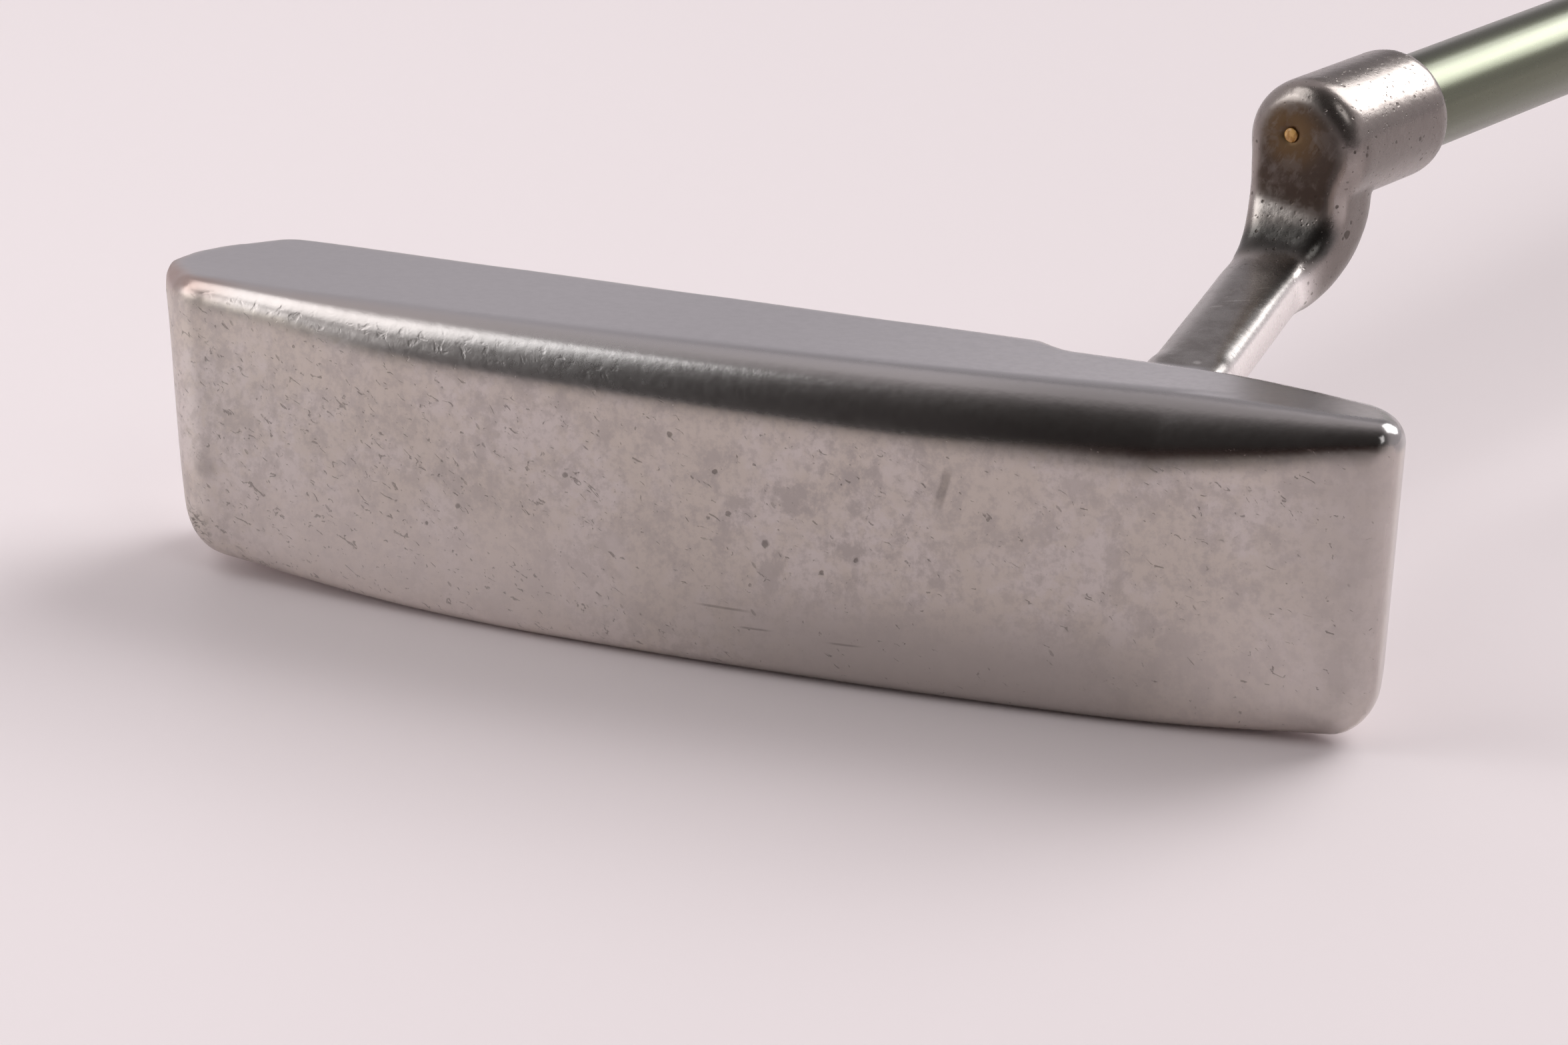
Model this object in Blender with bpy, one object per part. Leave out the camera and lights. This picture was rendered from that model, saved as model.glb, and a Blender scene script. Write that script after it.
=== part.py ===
"""Blade putter with a heel and toe weighted head on an offset neck, lying face up as on a table.

Every piece is modelled in the club's own frame: X from toe to heel, Y from the sole up to the
grip, Z out of the striking face, with the origin under the leading edge at the middle of the sole.
An empty then lays the whole club down. Lengths are in metres.
"""
import math
from collections import namedtuple

import bmesh
import bpy
from mathutils import Matrix, Vector, geometry

MM = 0.001

# Fits
FIT_GAP = 0.3 * MM            # room left between two pieces that touch
OVERRUN = 1.0 * MM            # how far a cutter runs past the face that it opens

# Blade, seen square to its face
TOE_CORNER = 57.2 * MM        # middle of the sole to its corner at the toe
TOE_BULGE = 7.0 * MM          # how far past that corner the toe's round is struck from
TOE_WIDEST = 14.0 * MM        # height at which the toe reaches furthest
TOE_CORNER_RADIUS = 5.0 * MM
TOE_END_RADIUS = 14.0 * MM
TOE_TOP_RADIUS = 3.2 * MM
TOE_TOP_SETBACK = 1.8 * MM    # the toe's top corner, in from the sole's corner
HEEL_CORNER = 57.1 * MM       # middle of the sole to its corner at the heel
HEEL_CORNER_RADIUS = 3.0 * MM
SOLE_RISE = 3.4 * MM          # rise of the sole from its middle to its corners
SOLE_ARC_SHARE = 0.68         # part of the sole, from heel to toe, that is curved
TOE_TOP = 26.45 * MM          # height of the top line at the toe
STEP_TOP = 20.2 * MM          # height of the top line where it steps down
STEP_X = 21.0 * MM            # place of that step
STEP_DROP = 2.5 * MM
STEP_RUN = 3.0 * MM
STEP_RADIUS = 2.6 * MM
HEEL_LINE = 16.6 * MM         # height of the top line behind the neck
HEEL_BEND_SETBACK = 16.6 * MM     # where the top line turns down, in from the heel's corner
HEEL_BEND_RADIUS = 55.0 * MM
HEEL_SHOULDER_SETBACK = 1.1 * MM
HEEL_SHOULDER_HEIGHT = 10.5 * MM
HEEL_SHOULDER_RADIUS = 6.0 * MM

# Blade, from front to back
LOFT = math.radians(4.75)     # the face leans back
SOLE_DEPTH = 29.5 * MM        # leading edge to trailing edge at the middle
TRAILING_SKEW = math.radians(0.72)    # the sole grows deeper towards the heel
TRAILING_TOE_X = 22.0 * MM    # the trailing edge is nearly straight between these two places
TRAILING_HEEL_X = 34.0 * MM
TRAILING_HOLLOW = 0.2 * MM    # how far it is hollow between them
TRAILING_CURVE = 500.0 * MM   # how it curves beyond them
BACK_LEAN = math.radians(8)   # the backs of the weights lean forward
TOE_DRAFT = 1.8 * MM          # how much the toe draws in towards the back
HEEL_DRAFT = 0.4 * MM
HEEL_CUTBACK = 1.6 * MM       # how much more the heel draws in at its back corner
CUTBACK_POWER = 6             # how late that comes
LEADING_TOE_SIDE = 4.8 * MM   # round between the face and the sole, where the sole's arc starts
LEADING_HEEL_SIDE = 7.0 * MM  # and where that arc ends
TOE_LEADING_RADIUS = 3.0 * MM     # what that round fades to at the toe corner
HEEL_LEADING_RADIUS = 2.6 * MM    # and at the heel corner
FACE_EDGE_RADIUS = 0.8 * MM   # round of the face's other edges
SHOULDER_EDGE_RADIUS = 1.3 * MM   # and at the heel's shoulder
TRAILING_RADIUS = 2.2 * MM
TOE_BACK_RADIUS = 3.0 * MM    # corners of the head's plan
HEEL_BACK_RADIUS = 5.6 * MM
BACK_STRETCH = 1.4            # the rounds at the back run further forward than they run in
FILLET_SHARE = 0.92           # most of an outline's side that its two fillets may take
RIM_SHARE = 0.95              # most of an outline's corner that a rim may take
RIM_BLEND = 6.0 * MM          # reach over which one rim's round passes into the next
RIM_SLOPE = 0.6               # most that a rim may grow along the outline, per length
RIM_FADE = 3                  # how late, along a straight side, a front rim passes into the next

# Cavity behind the blade
BLADE_THICKNESS = 6.0 * MM
FLANGE_THICKNESS = 7.2 * MM
TOE_WEIGHT_WIDTH = 24.7 * MM      # sole's corner to the end of the cavity's floor
HEEL_WEIGHT_WIDTH = 26.1 * MM
CAVITY_WALL_RUN = 5.0 * MM    # slope of the weights' inner walls
CAVITY_CORNER_RADIUS = 4.0 * MM
TOE_WEIGHT_HEIGHT = 17.0 * MM
HEEL_WEIGHT_HEIGHT = 12.0 * MM
ROOT_RADIUS = 2.5 * MM        # round where the blade meets the cavity's floor
SIGHT_LINE_LENGTH = 13.0 * MM
SIGHT_LINE_WIDTH = 1.6 * MM
SIGHT_LINE_DEPTH = 0.9 * MM
SIGHT_LINE_INSET = 2.5 * MM   # in from the flange's back edge

# Shaft line and hosel
LIE = math.radians(71.5)      # angle between the shaft and the ground
SHAFT_GROUND_X = 19.2 * MM    # where the shaft's line meets the ground
SHAFT_FORWARD = 9.3 * MM      # shaft's line in front of the leading edge
HOSEL_TOP = 66.85 * MM        # height of the hosel's rim
HOSEL_WALL = 1.225 * MM       # metal round the bore
HOSEL_LENGTH = 17.5 * MM
HOSEL_FLOOR = 2.4 * MM        # metal left under the bore
HOSEL_END_RADIUS = 2.5 * MM
HOSEL_RIM_RADIUS = 1.5 * MM
VENT_DIAMETER = 1.2 * MM      # lets air out from under the shaft's tip
VENT_TO_TOE = 0.8 * MM        # the vent is off the middle of the hosel's end
VENT_TO_FRONT = 1.15 * MM

# Neck
POST_X = 34.3 * MM
POST_WIDTH = 7.8 * MM
POST_THICKNESS = 5.4 * MM
POST_SETBACK = 0.6 * MM       # post's front behind the face at the top line
POST_LEAN = math.radians(2.9)
POST_ROOT = 6.0 * MM          # height at which the post ends inside the blade
POST_EDGE_RADIUS = 1.5 * MM
NECK_BACK_RADIUS = 2.2 * MM
BEND_RADIUS = 5.8 * MM        # inside of the bend
ARM_WIDTH = 10.5 * MM         # next to the bend; it widens to the hosel's width
ARM_THICKNESS = 7.3 * MM
ARM_EDGE_RADIUS = 1.9 * MM
ARM_TOE_INSET = 0.35 * MM     # its toe side next to the bend, in from the hosel's
ARM_INSET = 0.06 * MM         # keeps the arm's skin just inside the hosel's

# Shaft
CLUB_LENGTH = 889.0 * MM      # ground to the end of the grip, along the shaft's line
SHAFT_TIP_DIAMETER = 9.4 * MM
SHAFT_BUTT_DIAMETER = 14.7 * MM
SHAFT_WALL = 0.7 * MM
SHAFT_TIP_LENGTH = 230.0 * MM
SHAFT_BUTT_REACH = 34.6 * MM   # parallel butt that shows below the grip's mouth
GLUE_DEPTH = 1.4 * MM         # glue that pools under the tip
TIP_PLUG_LENGTH = 12.0 * MM

# Grip
GRIP_LENGTH = 267.0 * MM
GRIP_MOUTH_SIDE = 2.05 * MM   # rubber beside the bore
GRIP_BUTT_SIDE = 4.75 * MM
GRIP_MOUTH_FRONT = 1.45 * MM  # rubber between the bore and the flat front
GRIP_BUTT_FRONT = 3.35 * MM
GRIP_MOUTH_BACK = 2.05 * MM   # rubber between the bore and the round back
GRIP_BUTT_BACK = 6.95 * MM
PISTOL_SWELL = 4.2 * MM       # bulge of the back near the butt
PISTOL_AT = 0.84              # its place along the grip, and its spread, in grip lengths
PISTOL_SPREAD = 0.13
GRIP_FRONT_RADIUS = 4.2 * MM
GRIP_BACK_SHARE = 0.96        # part of the half width that the back's corners are rounded by
GRIP_LIP_RADIUS = 1.2 * MM
GRIP_SEAL_LENGTH = 5.0 * MM   # mouth that hugs the shaft below the tape
TAPE_THICKNESS = 0.3 * MM
CAP_THICKNESS = 5.0 * MM
CAP_RADIUS = 2.2 * MM
CAP_SPIGOT_LENGTH = 5.0 * MM
CAP_VENT_DIAMETER = 3.0 * MM

# Fineness of round surfaces
TURN_STEP = math.radians(9)
LONGEST_CHORD = 3.5 * MM
ROUND_SIDES = 44
RIM_STEPS = 10
CORNER_STEPS = 5
BEND_STEPS = 11
GRIP_RINGS = 22
SMOOTH_ANGLE = math.radians(30)
WELD = 0.000001
CDT_INSIDE = 1                # keep only the triangles inside the outline
CDT_NEARNESS = 0.0000001

# Densities in kg/m3, which decide how the club lies
STEEL_DENSITY = 7800.0
RUBBER_DENSITY = 1200.0
RESIN_DENSITY = 1200.0
PAPER_DENSITY = 900.0

# end_rim is the front rim at the end of the corner's arc, where that is not front_rim
Corner = namedtuple("Corner", "x y radius front_rim back_rim end_rim", defaults=[None])
Outline = namedtuple("Outline", "point front_rim back_rim limit")


def mix(a, b, t):
    return a + (b - a) * t


def ease(t):
    """Smooth step from 0 to 1."""
    t = min(max(t, 0.0), 1.0)
    return t * t * (3 - 2 * t)


def clear_scene():
    for old in list(bpy.data.objects):
        bpy.data.objects.remove(old, do_unlink=True)


def make_empty(name, parent=None):
    empty = bpy.data.objects.new(name, None)
    bpy.context.collection.objects.link(empty)
    empty.parent = parent
    return empty


def make_material(name, color, roughness, metallic):
    material = bpy.data.materials.new(name)
    material.use_nodes = True
    shader = material.node_tree.nodes["Principled BSDF"]
    shader.inputs["Base Color"].default_value = (*color, 1.0)
    shader.inputs["Roughness"].default_value = roughness
    shader.inputs["Metallic"].default_value = metallic
    return material


def make_object(name, bm, parent):
    """Object with the mesh of bm, its faces turned outwards, under its parent."""
    bmesh.ops.remove_doubles(bm, verts=bm.verts, dist=WELD)
    bmesh.ops.recalc_face_normals(bm, faces=bm.faces)
    mesh = bpy.data.meshes.new(name)
    bm.to_mesh(mesh)
    bm.free()
    mesh.shade_smooth()
    mesh.set_sharp_from_angle(angle=SMOOTH_ANGLE)
    made = bpy.data.objects.new(name, mesh)
    bpy.context.collection.objects.link(made)
    made.parent = parent
    return made


def use_tool(target, name, bm, parent, operation):
    """Cut the target by a hidden shape, or join it with one."""
    tool = make_object(name, bm, parent)
    tool.hide_render = True
    tool.display_type = "WIRE"
    modifier = target.modifiers.new(name, "BOOLEAN")
    modifier.object = tool
    modifier.operation = operation
    modifier.solver = "EXACT"


def close_end(bm, ring):
    """Triangles over the end of a skin, with no slivers along its straight sides."""
    corners = [vert.co for vert in ring]
    turn = geometry.normal(corners).rotation_difference(Vector((0.0, 0.0, 1.0)))
    flat = [(turn @ corner).to_2d() for corner in corners]
    sides = [(i, (i + 1) % len(ring)) for i in range(len(ring))]
    for face in geometry.delaunay_2d_cdt(flat, sides, [], CDT_INSIDE, CDT_NEARNESS)[2]:
        bm.faces.new([ring[i] for i in face])


def loft(rings):
    """Closed skin over rings that all have one count of points."""
    bm = bmesh.new()
    made = [[bm.verts.new(point) for point in ring] for ring in rings]
    for low, high in zip(made, made[1:]):
        for i in range(len(low)):
            j = (i + 1) % len(low)
            bm.faces.new((low[i], low[j], high[j], high[i]))
    for ring in (made[0], made[-1]):
        close_end(bm, ring)
    return bm


def turned(profile, tube=False):
    """Solid turned about Z from a profile of (radius, height) that ends on the axis, or a tube."""
    bm = bmesh.new()
    points = [bm.verts.new((radius, 0.0, height)) for radius, height in profile]
    pairs = list(zip(points, points[1:]))
    if tube:
        pairs.append((points[-1], points[0]))
    edges = [bm.edges.new(pair) for pair in pairs]
    bmesh.ops.spin(bm, geom=points + edges, cent=(0, 0, 0), axis=(0, 0, 1), angle=math.tau,
                   steps=ROUND_SIDES, use_merge=True)
    return bm


def rod(radius, low, high):
    """Profile of a plain round bar."""
    return [(0.0, low), (radius, low), (radius, high), (0.0, high)]


def quarter(centre_x, centre_y, radius, start):
    """Points of a quarter circle that starts at an angle in degrees."""
    angles = [math.radians(start + 90.0 * k / CORNER_STEPS) for k in range(CORNER_STEPS + 1)]
    return [(centre_x + radius * math.cos(a), centre_y + radius * math.sin(a)) for a in angles]


def rounded_rectangle(half_width, front, back, front_radius, back_radius):
    """Closed section of (across, depth), with its front at the positive side."""
    points = quarter(half_width - front_radius, front - front_radius, front_radius, 0)
    points += quarter(front_radius - half_width, front - front_radius, front_radius, 90)
    points += quarter(back_radius - half_width, back_radius - back, back_radius, 180)
    points += quarter(half_width - back_radius, back_radius - back, back_radius, 270)
    return points


def corner_sides(before, corner, after):
    """Directions from a corner to both its neighbours, and how far the outline turns there."""
    here = Vector((corner.x, corner.y))
    to_before = (Vector((before.x, before.y)) - here).normalized()
    to_after = (Vector((after.x, after.y)) - here).normalized()
    return here, to_before, to_after, math.pi - to_before.angle(to_after)


def fit_fillets(corners):
    """Shrink the fillets at both ends of a side that is too short for them."""
    after = corners[1:] + corners[:1]
    turns = [corner_sides(*three)[3] for three in zip(corners[-1:] + corners[:-1], corners, after)]
    reach = [corner.radius * math.tan(turn / 2) for corner, turn in zip(corners, turns)]
    shares = []
    for i, (here, there) in enumerate(zip(corners, after)):
        taken = reach[i] + reach[(i + 1) % len(corners)]
        side = math.hypot(there.x - here.x, there.y - here.y)
        shares.append(min(1.0, FILLET_SHARE * side / taken) if taken else 1.0)
    return [corner._replace(radius=corner.radius * min(shares[i - 1], shares[i]))
            for i, corner in enumerate(corners)]


def corner_arc(before, corner, after):
    """Points of the arc that rounds one corner of an outline."""
    here, to_before, to_after, angle = corner_sides(before, corner, after)
    if corner.radius == 0.0:
        return [here]
    centre = here + (to_before + to_after).normalized() * (corner.radius / math.cos(angle / 2))
    first = here + to_before * corner.radius * math.tan(angle / 2) - centre
    side = -math.copysign(1.0, to_before.cross(to_after))
    steps = max(2, math.ceil(angle / TURN_STEP), math.ceil(angle * corner.radius / LONGEST_CHORD))
    return [centre + Matrix.Rotation(side * angle * k / steps, 2) @ first for k in range(steps + 1)]


def rounded_outline(corners):
    """Closed outline through rounded corners, with points along its straight stretches too."""
    made = []
    corners = fit_fillets(corners)
    for i, corner in enumerate(corners):
        arc = corner_arc(corners[i - 1], corner, corners[(i + 1) % len(corners)])
        limit = RIM_SHARE * corner.radius if corner.radius else math.inf
        end_rim = corner.front_rim if corner.end_rim is None else corner.end_rim
        back = min(corner.back_rim, limit)
        for k, point in enumerate(arc):
            front = mix(corner.front_rim, end_rim, k / max(len(arc) - 1, 1))
            made.append(Outline(point, min(front, limit), back, limit))
    outline = []
    for here, after in zip(made, made[1:] + made[:1]):
        outline.append(here)
        steps = max(1, math.ceil((after.point - here.point).length / LONGEST_CHORD))
        for k in range(1, steps):
            t = k / steps
            outline.append(Outline(here.point.lerp(after.point, t),
                                   mix(here.front_rim, after.front_rim, t ** RIM_FADE),
                                   mix(here.back_rim, after.back_rim, t), math.inf))
    return [blend_rims(spot, outline) for spot in outline]


def blend_rims(spot, outline):
    """Pass the rims of one place gradually into the next, within what the corners near it allow."""
    near = [other for other in outline if (other.point - spot.point).length < RIM_BLEND]
    front = sum(other.front_rim for other in near) / len(near)
    back = sum(other.back_rim for other in near) / len(near)
    room = min(other.limit + RIM_SLOPE * (other.point - spot.point).length for other in outline)
    return spot._replace(front_rim=min(front, room), back_rim=min(back, room))


def slab(outline, front_z, back_z, draw_in):
    """Skin over an outline from its front to its back, with both rims rounded.

    The outline runs anticlockwise. front_z and back_z give the two end surfaces, and draw_in
    says how far a point has moved sideways at a share of the way to the back.
    """
    inward = []
    for before, after in zip(outline[-1:] + outline[:-1], outline[1:] + outline[:1]):
        along = after.point - before.point
        inward.append(Vector((-along.y, along.x)).normalized())
    rings = []
    for at_back in (False, True):
        for step in range(RIM_STEPS + 1):
            angle = math.pi / 2 * step / RIM_STEPS
            ring = []
            for spot, normal in zip(outline, inward):
                if at_back:
                    inset = spot.back_rim * (1 - math.cos(angle))
                    rise = BACK_STRETCH * spot.back_rim * (1 - math.sin(angle))
                else:
                    inset = spot.front_rim * (1 - math.sin(angle))
                    rise = -spot.front_rim * (1 - math.cos(angle))
                x, y = spot.point + normal * inset
                front, back = front_z(x, y), back_z(x, y)
                z = (back if at_back else front) + rise
                ring.append((x + draw_in(x, (front - z) / (front - back)), y, z))
            rings.append(ring)
    return loft(rings)


def face_z(x, y):
    """Striking face, which leans back by its loft."""
    return -y * math.tan(LOFT)


def trailing_z(x, y):
    """Back of the sole and of the weights: a little hollow, and curving forward at both ends."""
    middle = (TRAILING_HEEL_X - TRAILING_TOE_X) / 2
    half = (TRAILING_HEEL_X + TRAILING_TOE_X) / 2
    hollow = TRAILING_HOLLOW * max(1 - ((x - middle) / half) ** 2, 0.0)
    beyond = max(abs(x - middle) - half, 0.0)
    curve = beyond * beyond / (2 * TRAILING_CURVE)
    return -SOLE_DEPTH - x * math.tan(TRAILING_SKEW) + hollow + curve + y * math.tan(BACK_LEAN)


def head_draft(x, share):
    """The toe and the heel draw in towards the back, the heel most at its very corner."""
    toe = TOE_DRAFT * share
    heel = HEEL_DRAFT * share + HEEL_CUTBACK * share ** CUTBACK_POWER
    return toe * ease(-x / TOE_CORNER) - heel * ease(x / HEEL_CORNER)


def blade_corners():
    """Outline of the blade, anticlockwise from the toe end of the sole."""
    slope = SOLE_RISE / (HEEL_CORNER * (1 - SOLE_ARC_SHARE / 2))
    sole_radius = HEEL_CORNER * SOLE_ARC_SHARE / slope
    middle_y = SOLE_RISE - HEEL_CORNER * slope
    top_slope = (TOE_TOP - STEP_TOP) / (TOE_CORNER + STEP_X)
    edge, trail = FACE_EDGE_RADIUS, TRAILING_RADIUS
    return [
        Corner(-TOE_CORNER, SOLE_RISE, TOE_CORNER_RADIUS, TOE_LEADING_RADIUS, TOE_BACK_RADIUS),
        Corner(0.0, middle_y, sole_radius, LEADING_TOE_SIDE, trail, LEADING_HEEL_SIDE),
        Corner(HEEL_CORNER, SOLE_RISE, HEEL_CORNER_RADIUS, HEEL_LEADING_RADIUS, HEEL_BACK_RADIUS),
        Corner(HEEL_CORNER - HEEL_SHOULDER_SETBACK, HEEL_SHOULDER_HEIGHT, HEEL_SHOULDER_RADIUS,
               SHOULDER_EDGE_RADIUS, HEEL_BACK_RADIUS),
        Corner(HEEL_CORNER - HEEL_BEND_SETBACK, HEEL_LINE, HEEL_BEND_RADIUS, edge, trail),
        Corner(STEP_X + STEP_RUN, STEP_TOP - STEP_DROP, STEP_RADIUS, edge, edge),
        Corner(STEP_X, STEP_TOP, STEP_RADIUS, edge, edge),
        Corner(TOE_TOP_SETBACK - TOE_CORNER, TOE_TOP - top_slope * TOE_TOP_SETBACK, TOE_TOP_RADIUS,
               edge, trail),
        Corner(-TOE_CORNER - TOE_BULGE, TOE_WIDEST, TOE_END_RADIUS, edge, TOE_BACK_RADIUS),
    ]


def cavity_corners():
    """Outline of what is cut away above the flange and between the weights."""
    past = TOE_CORNER + HEEL_CORNER
    toe_x = -TOE_CORNER + TOE_WEIGHT_WIDTH
    heel_x = HEEL_CORNER - HEEL_WEIGHT_WIDTH
    profile = [
        (-past, TOE_WEIGHT_HEIGHT, 0.0),
        (toe_x - CAVITY_WALL_RUN, TOE_WEIGHT_HEIGHT, CAVITY_CORNER_RADIUS),
        (toe_x, FLANGE_THICKNESS, CAVITY_CORNER_RADIUS),
        (heel_x, FLANGE_THICKNESS, CAVITY_CORNER_RADIUS),
        (heel_x + CAVITY_WALL_RUN, HEEL_WEIGHT_HEIGHT, CAVITY_CORNER_RADIUS),
        (past, HEEL_WEIGHT_HEIGHT, 0.0),
        (past, past, 0.0),
        (-past, past, 0.0),
    ]
    return [Corner(x, y, radius, ROOT_RADIUS, OVERRUN) for x, y, radius in profile]


def cavity_front(x, y):
    return face_z(x, y) - BLADE_THICKNESS


def cavity_back(x, y):
    return -2 * SOLE_DEPTH


def no_draft(x, share):
    return 0.0


def shaft_along():
    return Vector((math.cos(LIE), math.sin(LIE), 0.0))


def hosel_rim():
    """Middle of the hosel's rim, on the shaft's line."""
    return Vector((SHAFT_GROUND_X + HOSEL_TOP / math.tan(LIE), HOSEL_TOP, SHAFT_FORWARD))


def bore_radius():
    return SHAFT_TIP_DIAMETER / 2 + FIT_GAP


def hosel_radius():
    return bore_radius() + HOSEL_WALL


def bore_depth():
    return HOSEL_LENGTH - HOSEL_FLOOR


def shaft_tip():
    """Places along the shaft's line are counted from the hosel's rim."""
    return -bore_depth() + FIT_GAP + GLUE_DEPTH + FIT_GAP


def grip_end():
    return CLUB_LENGTH - HOSEL_TOP / math.sin(LIE)


def grip_mouth():
    return grip_end() - GRIP_LENGTH


def shaft_butt():
    return grip_end() - CAP_THICKNESS - CAP_SPIGOT_LENGTH - FIT_GAP


def grip_bore_radius():
    return SHAFT_BUTT_DIAMETER / 2 + FIT_GAP + TAPE_THICKNESS + FIT_GAP


def neck_ring(front, across, outward, width, thickness, edge):
    """Section of the neck behind the middle of its front."""
    section = rounded_rectangle(width / 2, 0.0, thickness, edge, NECK_BACK_RADIUS)
    return [front + across * a - outward * b for a, b in section]


def neck_form():
    """Post, bend and offset arm, from inside the blade to the middle of the hosel."""
    along = shaft_along()
    arm_across = Vector((math.sin(LIE), -math.cos(LIE), 0.0))
    hosel_width = 2 * (hosel_radius() - ARM_INSET)
    hosel_front = hosel_rim() - along * (HOSEL_LENGTH - ARM_INSET)
    to_toe = (hosel_width - ARM_WIDTH) / 2 - ARM_TOE_INSET
    arm_pivot = hosel_front - along * BEND_RADIUS - arm_across * to_toe
    post_across = Vector((1.0, 0.0, 0.0))
    post_along = Vector((0.0, math.cos(POST_LEAN), math.sin(POST_LEAN)))
    post_outward = Vector((0.0, math.sin(POST_LEAN), -math.cos(POST_LEAN)))
    front = Vector((POST_X, HEEL_LINE, face_z(POST_X, HEEL_LINE) - POST_SETBACK))
    root = front + post_along * ((POST_ROOT - front.y) / post_along.y)
    post_pivot = front - post_outward * BEND_RADIUS
    post_pivot += post_along * ((arm_pivot.y - post_pivot.y) / post_along.y)
    arm_pivot.z = post_pivot.z
    rings = [neck_ring(root, post_across, post_outward, POST_WIDTH, POST_THICKNESS, POST_EDGE_RADIUS)]
    for k in range(BEND_STEPS + 1):
        t = k / BEND_STEPS
        outward = post_outward.slerp(along, t)
        rings.append(neck_ring(post_pivot.lerp(arm_pivot, t) + outward * BEND_RADIUS,
                               post_across.slerp(arm_across, t), outward,
                               mix(POST_WIDTH, ARM_WIDTH, ease(t)),
                               mix(POST_THICKNESS, ARM_THICKNESS, ease(t)),
                               mix(POST_EDGE_RADIUS, ARM_EDGE_RADIUS, t)))
    rings.append(neck_ring(hosel_front, arm_across, along, hosel_width, ARM_THICKNESS, HOSEL_END_RADIUS))
    return loft(rings)


def hosel_form():
    """Turned hosel, with its rim at height 0."""
    radius = hosel_radius()
    end = quarter(radius - HOSEL_END_RADIUS, HOSEL_END_RADIUS - HOSEL_LENGTH, HOSEL_END_RADIUS, -90)
    rim = quarter(radius - HOSEL_RIM_RADIUS, -HOSEL_RIM_RADIUS, HOSEL_RIM_RADIUS, 0)
    return turned([(0.0, -HOSEL_LENGTH), *end, *rim, (0.0, 0.0)])


def vent_rod(radius, low, high):
    """Round bar on the vent's own axis."""
    bm = turned(rod(radius, low, high))
    bm.transform(Matrix.Translation((VENT_TO_TOE, VENT_TO_FRONT, 0.0)))
    return bm


def sight_line_bar(clear, above):
    """Bar in the flange's top, narrower all round by a clearance, with its top raised."""
    height = SIGHT_LINE_DEPTH - clear + above
    back = trailing_z(0.0, FLANGE_THICKNESS) + SIGHT_LINE_INSET
    centre = Vector((0.0, FLANGE_THICKNESS + above - height / 2, back + SIGHT_LINE_LENGTH / 2))
    size = (SIGHT_LINE_WIDTH - 2 * clear, height, SIGHT_LINE_LENGTH - 2 * clear)
    bm = bmesh.new()
    bmesh.ops.create_cube(bm, size=1.0, matrix=Matrix.LocRotScale(centre, None, size))
    return bm


def make_head(club, shaft_line):
    """One casting: the blade with its weights and flange, the neck and the hosel."""
    outline = rounded_outline(blade_corners())
    head = make_object("head", slab(outline, face_z, trailing_z, head_draft), club)
    hollow = slab(rounded_outline(cavity_corners()), cavity_front, cavity_back, no_draft)
    use_tool(head, "cavity_cutter", hollow, club, "DIFFERENCE")
    use_tool(head, "neck_form", neck_form(), club, "UNION")
    use_tool(head, "hosel_form", hosel_form(), shaft_line, "UNION")
    bore = turned(rod(bore_radius(), -bore_depth(), OVERRUN))
    use_tool(head, "bore_cutter", bore, shaft_line, "DIFFERENCE")
    vent = vent_rod(VENT_DIAMETER / 2, -HOSEL_LENGTH - OVERRUN, OVERRUN - bore_depth())
    use_tool(head, "vent_cutter", vent, shaft_line, "DIFFERENCE")
    use_tool(head, "sight_line_cutter", sight_line_bar(0.0, OVERRUN), club, "DIFFERENCE")
    return head


def make_glue(shaft_line):
    """Cured glue under the shaft's tip, with the drop that shows in the vent."""
    low = -bore_depth() + FIT_GAP
    pool = turned(rod(SHAFT_TIP_DIAMETER / 2, low, low + GLUE_DEPTH))
    glue = make_object("hosel_epoxy", pool, shaft_line)
    drop = vent_rod(VENT_DIAMETER / 2 - FIT_GAP, -HOSEL_LENGTH, low + GLUE_DEPTH / 2)
    use_tool(glue, "vent_drop_form", drop, shaft_line, "UNION")
    return glue


def make_shaft(shaft_line):
    """Thin steel tube, parallel at the tip and under the grip and tapered between."""
    tip, butt = SHAFT_TIP_DIAMETER / 2, SHAFT_BUTT_DIAMETER / 2
    taper_start = shaft_tip() + SHAFT_TIP_LENGTH
    taper_end = grip_mouth() - SHAFT_BUTT_REACH
    outside = [(tip, shaft_tip()), (tip, taper_start), (butt, taper_end), (butt, shaft_butt())]
    inside = [(radius - SHAFT_WALL, place) for radius, place in reversed(outside)]
    return make_object("shaft", turned(outside + inside, tube=True), shaft_line)


def make_tip_plug(shaft_line):
    """Stopper that keeps glue from running up inside the shaft."""
    radius = SHAFT_TIP_DIAMETER / 2 - SHAFT_WALL - FIT_GAP
    plug = turned(rod(radius, shaft_tip(), shaft_tip() + TIP_PLUG_LENGTH))
    return make_object("shaft_tip_plug", plug, shaft_line)


def grip_section(t, inset):
    """Section of the grip at t of its length, flat in front and round behind."""
    core = grip_bore_radius() - inset
    half_width = core + mix(GRIP_MOUTH_SIDE, GRIP_BUTT_SIDE, t)
    front = core + mix(GRIP_MOUTH_FRONT, GRIP_BUTT_FRONT, t)
    swell = PISTOL_SWELL * math.exp(-((t - PISTOL_AT) / PISTOL_SPREAD) ** 2)
    back = core + mix(GRIP_MOUTH_BACK, GRIP_BUTT_BACK, ease(t)) + swell
    return rounded_rectangle(half_width, front, back, GRIP_FRONT_RADIUS - inset,
                             GRIP_BACK_SHARE * half_width)


def grip_ring(place, inset=0.0):
    t = (place - grip_mouth()) / GRIP_LENGTH
    return [(depth, across, place) for across, depth in grip_section(t, inset)]


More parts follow.
